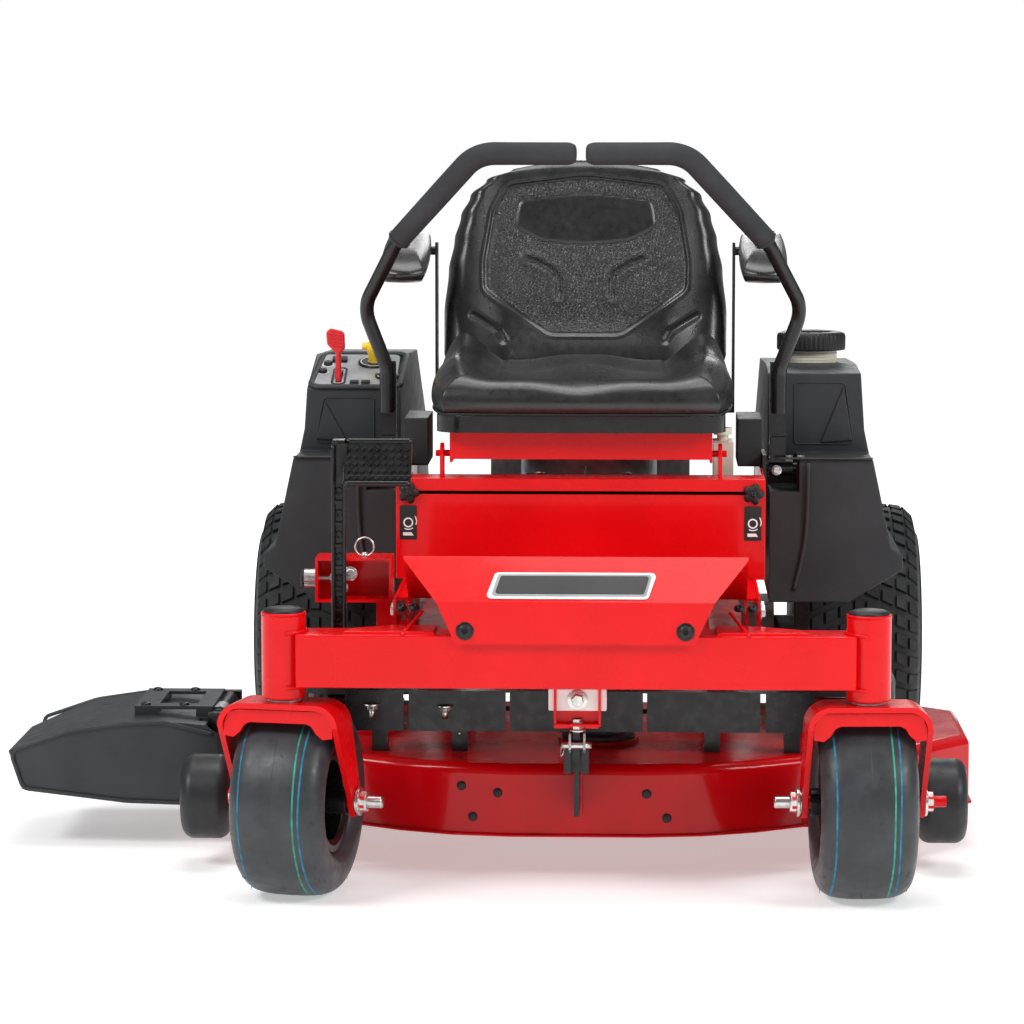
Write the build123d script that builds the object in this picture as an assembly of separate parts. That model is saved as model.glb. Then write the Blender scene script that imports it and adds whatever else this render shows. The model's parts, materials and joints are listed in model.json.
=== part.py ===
"""Zero turn mower: every separate piece as its own STEP file, in millimetres, +Z up.

The working frame has X across the machine from its centre plane, Y = 0 at the front
caster axles and growing to the rear, and Z = 0 on the ground. Each piece is moved to
the stored frame, whose origin is the bottom centre of the whole machine, when written.
"""

import math
import os

from build123d import *

# ---------------------------------------------------------------- driving dimensions
FRONT_TYRE_R = 140
FRONT_TYRE_W = 140
CASTER_X = 417
CASTER_TRAIL = 65
PIVOT_Y = -CASTER_TRAIL
BARREL_R = 31.75
BARREL_BOTTOM = 299
BARREL_TOP = 422
SWIVEL = {"left": -11.5, "right": 3.0}

REAR_TYRE_R = 225
REAR_TYRE_W = 216
REAR_AXLE_Y = 1150
REAR_TYRE_INNER_X = 351
REAR_SHAFT_R = 14

BEAM_SIZE = 76
BEAM_Z = 356
WALL = 4
RAIL_X = 220
RAIL_SIZE = 50
RAIL_BOTTOM = 318
RAIL_END_Y = 1440

NOSE_RIDGE = (-50, 501)
NOSE_FOLD = (-112, 443)
NOSE_BOTTOM = (-112, 383)
FLOOR_Z = 430
TOE_Y = 60
BOX_Y = 300
BOX_HALF = 280
BOX_TOP = 577
BOX_END_Y = 780

DECK_BOTTOM = 65
DECK_TOP = 172
DECK_LEFT = -545
DECK_RIGHT = 600
DECK_WALL = 4
SPINDLE_X = 28
SPINDLE_STEP = 365
SPINDLE_FRONT_Y = 335
SPINDLE_REAR_Y = 450
BLADE_R = 184
BLADE_Z = 76
PULLEY_R = 60
BELT_Z = 222
ROLLER_R = 63.5
ROLLER_Y = 213
ROLLER_Z = 103
CHUTE_HINGE_X = -566
CHUTE_HINGE_Z = 190
ENGINE = (0, 1180)

LEVER_X = 305
LEVER_Y = 520
SWING_Z = 612
ARMREST_Z = 905
SEAT_HINGE = (352, 611)
PAN_TOP = 671
PEDAL_X = -349
PEDAL_HINGE = (92, 318)
FIT = 0.08

SIDES = {"left": -1, "right": 1}
PIECES = {}


# ---------------------------------------------------------------- shape helpers
def block(x0, x1, y0, y1, z0, z1):
    """A box between two values on each axis."""
    centre = Pos((x0 + x1) / 2, (y0 + y1) / 2, (z0 + z1) / 2)
    return centre * Box(x1 - x0, y1 - y0, z1 - z0)


def rod(axis, at, radius, length):
    """A cylinder centred on a point, along x, y or z."""
    turn = {"x": Rot(0, 90, 0), "y": Rot(90, 0, 0), "z": Rot(0, 0, 0)}[axis]
    return Pos(*at) * turn * Cylinder(radius, length)


def prism_x(outline, x0, x1):
    """A (y, z) outline carried from x0 to x1."""
    face = make_face(Plane.YZ * Polyline(*outline, close=True))
    return Pos(x0, 0, 0) * extrude(face, amount=x1 - x0, dir=(1, 0, 0))


def prism_y(outline, y0, y1):
    """An (x, z) outline carried from y0 to y1."""
    face = make_face(Plane.XZ * Polyline(*outline, close=True))
    return Pos(0, y0, 0) * extrude(face, amount=y1 - y0, dir=(0, 1, 0))


def prism_z(outline, z0, z1):
    """An (x, y) outline carried from z0 to z1."""
    face = make_face(Polyline(*outline, close=True))
    return Pos(0, 0, z0) * extrude(face, amount=z1 - z0, dir=(0, 0, 1))


def folded(points, thickness):
    """The closed outline of a bent sheet whose one face runs through the points."""
    path = [Vector(*point) for point in points]
    runs = [(b - a).normalized() for a, b in zip(path, path[1:])]
    normals = [Vector(-run.Y, run.X) for run in runs]
    back = []
    for i, point in enumerate(path):
        before = normals[max(i - 1, 0)]
        after = normals[min(i, len(normals) - 1)]
        mitre = (before + after).normalized()
        back.append(point + mitre * (thickness / mitre.dot(after)))
    return [(p.X, p.Y) for p in path + back[::-1]]


def mirrored(outline):
    """The same outline on the other side of the centre plane."""
    return [(-x, y) for x, y in outline]


def hollow_bar_y(x, z, size, y0, y1, wall=WALL):
    """A closed square tube along Y."""
    half = size / 2
    outer = block(x - half, x + half, y0, y1, z - half, z + half)
    inner = half - wall
    return outer - block(x - inner, x + inner, y0 + wall, y1 - wall, z - inner, z + inner)


def hollow_bar_x(x0, x1, y, z, size, wall=WALL):
    """A closed square tube along X."""
    half = size / 2
    outer = block(x0, x1, y - half, y + half, z - half, z + half)
    inner = half - wall
    return outer - block(x0 + wall, x1 - wall, y - inner, y + inner, z - inner, z + inner)


def ring_x(outline):
    """An (x, radius) outline turned about the X axis."""
    return revolve(make_face(Polyline(*outline, close=True)), Axis.X, 360)


def keep(name, shape):
    """Files one piece under its node name."""
    PIECES[name] = shape


def hex_bolt(axis, at, size, length, head_first=1):
    """A bolt with a hexagon head; head_first = -1 puts the head at the low end."""
    turn = {"x": Rot(0, 90, 0), "y": Rot(-90, 0, 0), "z": Rot(0, 0, 0)}[axis]
    shank = Cylinder(size / 2, length)
    head = Pos(0, 0, head_first * (length + 0.6 * size) / 2)
    head *= extrude(RegularPolygon(0.9 * size, 6), 0.3 * size, both=True)
    return Pos(*at) * turn * (shank + head)


# ---------------------------------------------------------------- frame
def front_beam():
    """The square cross beam with the two caster barrels and its end gussets."""
    reach = CASTER_X - 20
    beam = hollow_bar_x(-reach, reach, PIVOT_Y, BEAM_Z, BEAM_SIZE)
    for side in SIDES.values():
        middle = (BARREL_BOTTOM + BARREL_TOP) / 2
        at = (side * CASTER_X, PIVOT_Y, middle)
        beam += rod("z", at, BARREL_R, BARREL_TOP - BARREL_BOTTOM)
        beam += gusset(side)
    for side in SIDES.values():
        at = (side * CASTER_X, PIVOT_Y, (BARREL_BOTTOM + BARREL_TOP) / 2)
        beam -= rod("z", at, 16 + FIT, 200)
    return beam


def gusset(side):
    """A flat triangular plate on the beam's top, beside the foot plate."""
    top = BEAM_Z + BEAM_SIZE / 2
    edge = [(200, -27), (262, -27), (318, -60), (330, -99), (200, -99)]
    outline = edge if side > 0 else mirrored(edge)
    return prism_z(outline, top - 1, top + 5)


def frame_rails():
    """The two long rails, their cross members, the deck hanger and the height bracket."""
    middle = RAIL_BOTTOM + RAIL_SIZE / 2
    start = PIVOT_Y + BEAM_SIZE / 2
    rails = None
    for side in SIDES.values():
        rail = hollow_bar_y(side * RAIL_X, middle, RAIL_SIZE, start, RAIL_END_Y)
        rails = rail if rails is None else rails + rail
    reach = RAIL_X - RAIL_SIZE / 2 + 2
    for y in (BOX_Y + 20, BOX_END_Y, RAIL_END_Y - RAIL_SIZE / 2):
        rails += hollow_bar_x(-reach, reach, y, middle, RAIL_SIZE)
    rails += block(-RAIL_X, RAIL_X, 900, RAIL_END_Y, 367.5, 373)
    rails -= rod("z", (0, 1180, 370), 30, 30)
    for side in SIDES.values():
        rails += block(side * 246 - 2, side * 246 + 2, 20, BOX_Y, 340, FLOOR_Z - 9)
    rails += deck_hanger(start)
    rails += height_bracket()
    return rails


def deck_hanger(start):
    """Two cheeks and a web under the beam that guide the front of the deck."""
    low, high = 247, BEAM_Z - BEAM_SIZE / 2
    plate = block(-32, 32, start, 45, high + 18, high + 24)
    for side in SIDES.values():
        plate += block(side * 29 - 3, side * 29 + 3, start + 14, 45, low, high + 20)
    plate += block(-32, 32, start + 14, start + 20, low, high + 20)
    plate += block(-RAIL_X, RAIL_X, start, start + 12, high + 2, high + 24)
    return plate


def height_bracket():
    """The cut-height box outside the left rail, with its pin hole along X."""
    box = block(-390, -277, 150, 215, 407, 473) - block(-386, -281, 149, 211, 411, 469)
    box += block(-300, -268, 160, 210, 360, 409) + block(-300, -240, 160, 210, 360, 380)
    box -= rod("x", (-388, 176, 440), 5 + FIT, 20)
    return box


def foot_plate():
    """The sloped red nose plate with its folded lower flange."""
    outline = folded([NOSE_BOTTOM, NOSE_FOLD, NOSE_RIDGE, (-30, 497)], -WALL)
    sheet = prism_x(outline, -260, 260)
    trim = [(-168, 380), (-197, 443), (-246, 497), (-246, 520)]
    front = trim + [(-x, z) for x, z in reversed(trim)]
    return sheet & prism_y(front, -140, 0)


def floor_pan():
    """The toe board, floor and side flanges from the nose to under the seat box."""
    path = [(-40, 491), (TOE_Y, FLOOR_Z), (BOX_Y - 2, FLOOR_Z - 4)]
    board = prism_x(folded(path, -WALL), -246, 246)
    for side in SIDES.values():
        inner, outer = sorted((side * 262, side * 266))
        board += block(inner, outer, 20, BOX_Y - 2, 384, FLOOR_Z)
        inner, outer = sorted((side * 240, side * 266))
        board += block(inner, outer, TOE_Y + 10, BOX_Y - 2, FLOOR_Z - 8, FLOOR_Z - 4)
    return board


def seat_box():
    """The open-backed red box under the seat, with two seat hinge brackets."""
    low = 424
    box = block(-BOX_HALF, BOX_HALF, BOX_Y, BOX_Y + WALL, low, BOX_TOP)
    box += block(-BOX_HALF, BOX_HALF, BOX_Y, BOX_Y + 70, BOX_TOP - WALL, BOX_TOP)
    for side in SIDES.values():
        inner, outer = sorted((side * (BOX_HALF - WALL), side * BOX_HALF))
        box += block(inner, outer, BOX_Y, BOX_END_Y, low, BOX_TOP)
        inner, outer = sorted((side * 200, side * BOX_HALF))
        box += block(inner, outer, BOX_Y, BOX_END_Y, low, low + WALL)
        box += seat_hinge_bracket(side)
    return box


def seat_hinge_bracket(side):
    """An upright ear on the box flange that holds one seat hinge pin."""
    hinge_y, hinge_z = SEAT_HINGE
    x = side * 212
    ear = block(x - 3, x + 3, hinge_y - 16, hinge_y + 16, BOX_TOP - 2, hinge_z)
    ear += rod("x", (x, hinge_y, hinge_z), 16, 6)
    return ear - rod("x", (x, hinge_y, hinge_z), 5 + FIT, 20)


# ---------------------------------------------------------------- front casters
def caster_turn(side_name):
    """The swivel of one caster about its own barrel."""
    side = SIDES[side_name]
    pivot = Pos(side * CASTER_X, PIVOT_Y, 0)
    return pivot * Rot(0, 0, SWIVEL[side_name]) * Pos(0, CASTER_TRAIL, 0)


def caster_fork():
    """The bent strap, stiffener, kingpin and axle bolt of one caster, at the axle."""
    y = -CASTER_TRAIL
    outer, thick, top = 89, 8, 294
    arch = fillet(block(-outer, outer, y - 38, 40, 100, top).edges().filter_by(Axis.Y)
                  .group_by(Axis.Z)[-1], 34)
    inner = outer - thick
    hole = fillet(block(-inner, inner, y - 39, 41, 90, top - thick).edges().filter_by(Axis.Y)
                  .group_by(Axis.Z)[-1], 26)
    side_view = [(y - 38, top), (y + 38, top), (y + 40, 262), (22, 146), (19, 128),
                 (8, 118), (-8, 118), (-18, 128), (-22, 142), (y - 38, 262)]
    fork = (arch - hole) & prism_x(side_view, -outer, outer)
    rib = [(-inner - 1, 262), (-58, 262), (-44, 274), (44, 274), (58, 262), (inner + 1, 262),
           (inner + 1, 268), (48, 290), (-48, 290), (-inner - 1, 268)]
    fork += prism_y(rib, y - 26, y - 20) & block(-inner - 1, inner + 1, -150, 0, 250, 288)
    fork += rod("z", (0, y, (top + BARREL_TOP) / 2 - 1), 16, BARREL_TOP - top + 2)
    bolt = rod("x", (0, 0, FRONT_TYRE_R), 9.5, 2 * outer + 10)
    fork -= rod("x", (0, 0, FRONT_TYRE_R), 9.5, 300)
    for side in SIDES.values():
        nut = Pos(side * (outer + 7), 0, FRONT_TYRE_R) * Rot(0, 90, 0)
        bolt += nut * extrude(RegularPolygon(15, 6), 6.5, both=True)
    bolt += rod("x", (outer + 20, 0, FRONT_TYRE_R), 8, 24)
    return Compound(children=[fork.solid(), bolt.solid()])


def front_rim():
    """A pressed steel caster rim with its long hub, turned about X."""
    barrel = [(-57, 66), (-57, 75.9), (-50, 75.9), (-44, 62), (44, 62), (50, 75.9),
              (57, 75.9), (57, 66), (52, 58), (3, 58), (3, 20), (76, 20), (76, 9.5 + FIT),
              (-76, 9.5 + FIT), (-76, 20), (-3, 20), (-3, 58), (-52, 58)]
    return Pos(0, 0, FRONT_TYRE_R) * ring_x(barrel)


def front_tyre():
    """A smooth caster tyre, hollow towards its rim."""
    r, w = FRONT_TYRE_R, FRONT_TYRE_W / 2
    half = [(56.8, 76.1), (w, 98), (w, 114), (w - 4, 126), (w - 14, 135.5), (w - 30, 139.4), (0, r)]
    outer = [(-x, y) for x, y in half[:-1]] + half[::-1]
    skin = [(49, 76.1), (w - 10, 98), (w - 10, 112), (w - 22, 126), (0, r - 11)]
    inner = [(-x, y) for x, y in skin[:-1]] + skin[::-1]
    return Pos(0, 0, r) * ring_x(outer + inner[::-1])


# ---------------------------------------------------------------- rear wheels
def rear_rim(side):
    """One rear rim with its hub, drive shaft and five lug bolts, on its axle line."""
    w = REAR_TYRE_W / 2 - 18
    barrel = [(-w, 92), (-w, 101.9), (-w + 8, 101.9), (-w + 16, 84), (w - 16, 84),
              (w - 8, 101.9), (w, 101.9), (w, 92), (w - 12, 78), (8, 78), (0, 60), (0, 26),
              (-8, 26), (-8, 60), (0, 78), (-w + 12, 78)]
    hub = [(-22, 0), (-22, 46), (-8.2, 46), (-8.2, 25.8), (12, 25.8), (12, 0)]
    rim = ring_x([(side * x, radius) for x, radius in barrel])
    shaft = ring_x([(side * x, radius) for x, radius in hub])
    shaft += rod("x", (side * -150, 0, 0), REAR_SHAFT_R, 270)
    solids = [rim.solid(), shaft.solid()]
    for i in range(5):
        angle = math.radians(90 + 72 * i)
        at = (side * 4.2, 38 * math.cos(angle), 38 * math.sin(angle))
        solids.append(hex_bolt("x", at, 8, 8, side).solid())
    place = Pos(side * (REAR_TYRE_INNER_X + REAR_TYRE_W / 2), REAR_AXLE_Y, REAR_TYRE_R)
    return place * Compound(children=solids)


def rear_tyre(side):
    """A turf drive tyre, hollow towards its rim."""
    r, w = REAR_TYRE_R, REAR_TYRE_W / 2
    half = [(w - 18.2, 102.1), (w - 4, 118), (w, 150), (w - 2, 178), (w - 12, 206),
            (w - 26, 218), (0, r)]
    outer = [(-x, y) for x, y in half[:-1]] + half[::-1]
    skin = [(w - 28, 102.1), (w - 14, 124), (w - 10, 150), (w - 13, 176), (w - 26, 200), (0, r - 16)]
    inner = [(-x, y) for x, y in skin[:-1]] + skin[::-1]
    tyre = ring_x(outer + inner[::-1])
    return Pos(side * (REAR_TYRE_INNER_X + w), REAR_AXLE_Y, r) * tyre


def transaxles():
    """The two hydrostatic drive units, each on its shaft, bolted under the rails."""
    units = []
    for side in SIDES.values():
        centre = side * 235
        unit = block(centre - 85, centre + 85, REAR_AXLE_Y - 80, REAR_AXLE_Y + 80, 165, 285)
        unit = fillet(unit.edges().filter_by(Axis.X), 25)
        unit += rod("z", (centre, REAR_AXLE_Y, 298), 40, 38)
        neck = rod("x", (side * 328, REAR_AXLE_Y, REAR_TYRE_R), 30, 60)
        unit += neck
        unit -= rod("x", (side * 260, REAR_AXLE_Y, REAR_TYRE_R), REAR_SHAFT_R + FIT, 460)
        units.append(unit.solid())
    return Compound(children=units)


# ---------------------------------------------------------------- deck
def deck_outline(inset):
    """The deck's plan, drawn in by the inset, as (x, y) corners."""
    i = inset
    slant = i * 0.42
    bow = [(100 - 0.1 * i, 106 + i), (185 - 0.3 * i, 119 + i), (262 - slant, 150 + i)]
    return [*mirrored(bow)[::-1], *bow, (335 - slant, 197 + i),
            (440 - slant, 197 + i), (DECK_RIGHT - i, 400 + slant), (DECK_RIGHT - i, 640 - slant),
            (520 - slant, 715 - i), (-470 + slant, 715 - i), (DECK_LEFT + i, 660 - slant),
            (DECK_LEFT + i, 340 + slant), (-450 + slant, 197 + i), (-335 + slant, 197 + i)]


def spindle_points():
    """The plan positions of the three cutter spindles, left to right."""
    return {"left": (SPINDLE_X - SPINDLE_STEP, SPINDLE_REAR_Y),
            "middle": (SPINDLE_X, SPINDLE_FRONT_Y),
            "right": (SPINDLE_X + SPINDLE_STEP, SPINDLE_REAR_Y)}


def deck_shell():
    """The stamped shell, open below and at its discharge mouth on the low-X side."""
    outer = prism_z(deck_outline(0), DECK_BOTTOM, DECK_TOP)
    outer = fillet(outer.faces().sort_by(Axis.Z)[-1].edges(), 16)
    inner = prism_z(deck_outline(DECK_WALL), DECK_BOTTOM - 10, DECK_TOP - DECK_WALL)
    inner = fillet(inner.faces().sort_by(Axis.Z)[-1].edges(), 12)
    shell = outer - inner
    shell -= block(DECK_LEFT - 20, DECK_LEFT + 40, 372, 628, DECK_BOTTOM - 5, DECK_TOP - 24)
    lip = prism_z(deck_outline(-5), DECK_BOTTOM, DECK_BOTTOM + 4)
    lip -= prism_z(deck_outline(DECK_WALL), DECK_BOTTOM - 5, DECK_BOTTOM + 10)
    lip -= block(DECK_LEFT - 20, DECK_LEFT + 40, 372, 628, DECK_BOTTOM - 5, DECK_TOP - 24)
    shell += lip
    shell += block(DECK_RIGHT - 2, DECK_RIGHT + 11, 560, 600, 90, 94)
    for x, y in spindle_points().values():
        shell += rod("z", (x, y, DECK_TOP + 3), 62, 6)
        shell -= rod("z", (x, y, DECK_TOP), 32, 40)
    return shell


def spindle_housings():
    """The three cast bearing housings standing in the deck."""
    homes = []
    for x, y in spindle_points().values():
        home = rod("z", (x, y, 162), 31.8, 76)
        home += rod("z", (x, y, DECK_TOP + 9.1), 56, 6)
        home -= rod("z", (x, y, 160), 12.5 + FIT, 120)
        homes.append(home.solid())
    return Compound(children=homes)


def cutter(x, y):
    """One spindle: shaft and pulley as one piece, and the blade bolted under it."""
    shaft = rod("z", (x, y, (88 + BELT_Z + 8) / 2), 12.5, BELT_Z + 8 - 88)
    shaft += rod("z", (x, y, 100), 24, 24)
    groove = [(0, -9), (PULLEY_R, -9), (PULLEY_R, -8), (PULLEY_R - 8, -4), (PULLEY_R - 8, 4),
              (PULLEY_R, 8), (PULLEY_R, 9), (0, 9)]
    pulley = revolve(make_face(Plane.XZ * Polyline(*groove, close=True)), Axis.Z, 360)
    shaft += Pos(x, y, BELT_Z) * pulley
    blade = block(x - BLADE_R + 3, x + BLADE_R - 3, y - 28, y + 28, BLADE_Z, BLADE_Z + 6)
    sail = folded([(y + 20, BLADE_Z + 3), (y + 28, BLADE_Z + 6), (y + 44, BLADE_Z + 26)], 4)
    blade += prism_x(sail, x + 95, x + BLADE_R - 26)
    sail = folded([(y - 44, BLADE_Z + 26), (y - 28, BLADE_Z + 6), (y - 20, BLADE_Z + 3)], 4)
    blade += prism_x(sail, x - BLADE_R + 26, x - 95)
    blade -= rod("z", (x, y, BLADE_Z), 8.1, 30)
    bolt = rod("z", (x, y, BLADE_Z + 2), 8, 20)
    bolt += Pos(x, y, BLADE_Z - 6) * extrude(RegularPolygon(14, 6), 4.9, both=True)
    shaft -= rod("z", (x, y, 70), 8.1, 2 * (BLADE_Z + 13 - 70))
    return Compound(children=[shaft.solid(), blade.solid(), bolt.solid()])


def belt_loop(grow):
    """The belt's plan round the three deck pulleys and the engine pulley."""
    points = spindle_points()
    centres = [points["left"], points["middle"], points["right"], ENGINE]
    return offset(make_face(Polyline(*centres, close=True)), PULLEY_R - 7.5 + grow, kind=Kind.ARC)


def deck_belt():
    """The V belt, level with the deck pulleys, running back to the engine pulley."""
    loop = extrude(belt_loop(8), 3.2, both=True)
    loop -= extrude(belt_loop(0), 5, both=True)
    return Pos(0, 0, BELT_Z) * loop


def belt_covers():
    """Two low plastic covers over the outer deck pulleys, open towards the belt."""
    covers = []
    for name in ("left", "right"):
        x, y = spindle_points()[name]
        cover = block(x - 92, x + 92, y - 92, y + 92, 182, 258)
        cover = fillet(cover.edges().filter_by(Axis.Z), 40)
        room = block(x - 88, x + 88, y - 88, y + 88, 170, 254)
        cover -= fillet(room.edges().filter_by(Axis.Z), 36)
        toward = 1 if name == "left" else -1
        inner, outer = sorted((x - toward * 84, x + toward * 120))
        cover -= block(inner, outer, y - 120, y + 120, 170, 236)
        covers.append(cover.solid())
    return Compound(children=covers)


def deck_brackets():
    """Roller arms, chute hinge, front clevis and the cross shield on the deck."""
    parts = []
    for side, x, wall_y in ((-1, -561, 294), (1, 544, 270)):
        inner = x - side * 40
        arm = [(ROLLER_Y - 14, 84), (ROLLER_Y + 18, 84), (wall_y, 140), (wall_y, 166),
               (wall_y - 30, 166), (ROLLER_Y - 14, 122)]
        low, high = sorted((inner - side * 6, inner))
        arm_plate = prism_x(arm, low, high)
        arm_plate -= rod("x", (x, ROLLER_Y, ROLLER_Z), 9.5, 200)
        axle = rod("x", (x - side * 4, ROLLER_Y, ROLLER_Z), 9.5, 86)
        parts += [arm_plate.solid(), axle.solid()]
    tongue = block(-4, 4, 28, 105.8, 110, 191) + block(-18, 18, 6, 34, 177, 218)
    tongue -= block(-8, 8, 5, 27.9, 176, 219)
    tongue += block(-5, 5, 10, 30, 196, 240)
    parts.append(tongue.solid())
    shelf = block(-352, 352, 219, 250, 262, 265)
    for x in (-352, -256, -104, 102, 280):
        stop = {-352: -264, -256: -110, -104: 96, 102: 272, 280: 352}[x]
        shelf += block(x, stop, 215, 219, 204, 265)
    for x in (-300, -180, 200, 320):
        shelf += block(x - 12, x + 12, 222, 246, DECK_TOP + 0.2, 264)
    parts.append(shelf.solid())
    hinge = block(-556, -500, 380, 400, DECK_TOP + 0.2, DECK_TOP + 5)
    hinge += block(-556, -500, 600, 620, DECK_TOP + 0.2, DECK_TOP + 5)
    hinge += block(-522, -500, 390, 610, DECK_TOP + 0.2, DECK_TOP + 5)
    for y in (390, 610):
        hinge += block(-578, -550, y - 10, y + 10, DECK_TOP + 0.2, 202)
    hinge -= rod("y", (CHUTE_HINGE_X, 500, CHUTE_HINGE_Z), 6, 300)
    hinge += rod("y", (CHUTE_HINGE_X, 500, CHUTE_HINGE_Z), 6, 250)
    parts.append(hinge.solid())
    return Compound(children=parts)


def deck_roller(x):
    """An anti-scalp roller with rounded shoulders and a through bore."""
    body = rod("x", (x, ROLLER_Y, ROLLER_Z), ROLLER_R, 72)
    body = fillet(body.edges().filter_by(GeomType.CIRCLE), 18)
    return body - rod("x", (x, ROLLER_Y, ROLLER_Z), 9.5 + FIT, 90)


def discharge_chute():
    """The hinged grey plastic chute, with its hinge leaf and sleeve."""
    top = [(-578, 190), (-640, 195), (-710, 192), (-790, 180), (-883, 148), (-862, 88)]
    roof = prism_y(folded(top, 4.5), 340, 655)
    for y0 in (340, 650.5):
        end = [(-560, 176), (-578, 190), (-640, 195), (-710, 192), (-790, 180), (-883, 148),
               (-862, 88), (-700, 70), (-560, 66)]
        roof += prism_y(end, y0, y0 + 4.5)
    trim = [(-560, 330), (-560, 670), (-800, 670), (-890, 560), (-890, 330)]
    chute = roof & prism_z(trim, 0, 300)
    leaf = block(-696, -574, 410, 440, 203, 208) + block(-696, -574, 560, 590, 203, 208)
    leaf += block(-696, -660, 410, 590, 186, 208)
    leaf += block(-600, -574, 410, 590, 190.5, 208)
    leaf += rod("y", (CHUTE_HINGE_X, 500, CHUTE_HINGE_Z), 13, 180)
    chute += leaf
    for y in (390, 610):
        chute -= rod("y", (CHUTE_HINGE_X, y, CHUTE_HINGE_Z), 27, 26)
    return chute - rod("y", (CHUTE_HINGE_X, 500, CHUTE_HINGE_Z), 6 + FIT, 400)


# ---------------------------------------------------------------- lift pedal
def lift_pedal():
    """The cast lift lever: channel arm, foot pad, hub and index holes."""
    y, z = PEDAL_HINGE
    x = PEDAL_X
    arm = block(x - 9, x + 9, y - 14, y + 14, z, 655)
    arm -= block(x - 5, x + 5, y - 20, y - 8, z + 40, 648)
    arm += rod("x", (x, y, z), 22, 18)
    arm += block(-336, -242, y - 36, y + 14, 600, 606)
    pad = [(y - 40, 594), (y - 34, 590), (y + 8, 644), (y + 4, 652), (y - 4, 652)]
    arm += prism_x(pad, -341, -242)
    arm += block(-350, -336, y - 20, y + 12, 592, 650)
    for i in range(6):
        hole = (x, y + 3, 390 + 32 * i)
        arm -= rod("x", hole, 5.5, 40)
    return arm - rod("x", (x, y, z), 10 + FIT, 60)


def lift_shaft():
    """The cross shaft that carries the pedal's hub, fixed under the floor."""
    y, z = PEDAL_HINGE
    shaft = rod("x", (-308, y, z), 10, 104)
    shaft += block(-262, -245.4, y - 18, y + 18, z - 18, z + 18)
    return shaft


def height_pin():
    """The ring pull pin that sets the cut height."""
    pin = rod("x", (-388, 176, 440), 5, 36)
    knob = rod("x", (-400, 176, 440), 14, 16)
    return pin + knob


# ---------------------------------------------------------------- body panels
CONSOLE_TOP = {-1: (690, 735), 1: (716, 722)}


def fender_body(side, inset):
    """The plain volume of one side's console and fender, drawn in by the inset."""
    i = inset
    low = 366 if i == 0 else 340
    front, top = CONSOLE_TOP[side]
    side_view = [(600 + i, low), (600 + i, front - i), (750 + i / 4, top - i),
                 (1060, top - 13 - i), (1300 - i, 600 - i), (1400 - i, 470), (1400 - i, low)]
    front_view = [(292 + i, 330), (415 - i, 330), (415 - i, 366), (500 - i, 417),
                  (500 - i, 440), (482 - i, 452), (445 - i, 626), (436 - i, 760), (292 + i, 760)]
    front_view = [(side * x, z) for x, z in front_view]
    inner, outer = sorted((side * 280, side * 510))
    body = prism_x(side_view, inner, outer) & prism_y(front_view, 590, 1410)
    ledge_view = [(480 + i, low), (486 + i, 590 - i), (650, 590 - i), (650, low)]
    body += prism_x(ledge_view, inner, outer) & prism_y(front_view, 470, 650)
    inner, outer = sorted((side * 270, side * (337 + i)))
    body -= block(inner, outer, 460, 600 + i, 540 - i, 610)
    return body - rod("x", (side * 400, REAR_AXLE_Y, REAR_TYRE_R), 250 + i, 300)


def fender(side):
    """One hollow plastic fender, open below."""
    return fender_body(side, 0) - fender_body(side, 4)


PANEL = Pos(0, 600, 690) * Rot(math.degrees(math.atan2(45, 150)), 0, 0)
THROTTLE = (-392, 44)
PULL_KNOB = (-340, 104)
KEY = (-316, 44)


def fender_left():
    """The fender under the controls, with its openings for the throttle, knob and key."""
    shell = fender(-1)
    x, u = THROTTLE
    shell -= PANEL * block(x - 20, x + 20, u - 36, u + 36, -20, 10)
    for x, u in (PULL_KNOB, KEY):
        shell -= PANEL * rod("z", (x, u, 0), 8, 40)
    return Compound(children=[shell.solid(), side_cover(-1).solid()])


def fender_right():
    """The fender over the fuel tank, with its filler opening."""
    shell = fender(1) - rod("z", (368, 800, 730), 45, 60)
    return Compound(children=[shell.solid(), side_cover(1).solid()])


def control_panel():
    """The sloped plate on the low-X console with a slot and two ears for the throttle."""
    plate = block(-430, -300, 8, 142, 0.3, 4.3)
    plate = fillet(plate.edges().filter_by(Axis.Z), 12)
    x, u = THROTTLE
    plate -= block(x - 5, x + 5, u - 28, u + 28, -5, 10)
    for ear in (-11, 11):
        plate += block(x + ear - 2.5, x + ear + 2.5, u - 8, u + 8, -20, 1)
    plate += rod("x", (x, u, -14), 3, 24)
    for x, u in (PULL_KNOB, KEY):
        plate += rod("z", (x, u, 6), 11, 4)
        plate -= rod("z", (x, u, 0), 4 + FIT, 40)
    return PANEL * plate


def throttle_lever():
    """The red throttle paddle on its stem and hub."""
    x, u = THROTTLE
    lever = rod("x", (x, u, -14), 7, 8) + block(x - 3, x + 3, u - 5, u + 5, -12, 46)
    paddle = block(x - 14, x + 14, u - 5, u + 5, 40, 76)
    lever += fillet(paddle.edges().filter_by(Axis.Y), 10)
    return PANEL * (lever - rod("x", (x, u, -14), 3 + FIT, 20))


def pull_knob():
    """The blade engagement knob, a mushroom on a stem."""
    x, u = PULL_KNOB
    knob = rod("z", (x, u, -2), 4, 40) + rod("z", (x, u, 21), 15, 14)
    return PANEL * (knob + rod("z", (x, u, 12), 9, 7))


def ignition_key():
    """The key: stem in the switch and a flat bow."""
    x, u = KEY
    return PANEL * (rod("z", (x, u, 0), 4, 20) + block(x - 9, x + 9, u - 1.5, u + 1.5, 9, 30))


def side_cover(side):
    """An inner plastic cover beside the seat, over the control linkage."""
    inner, outer = sorted((side * 242, side * 279.5))
    cover = block(inner, outer, 500, 640, 577.3, 652)
    return cover - block(inner + 3, outer - 3, 503, 637, 570, 649)


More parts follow.
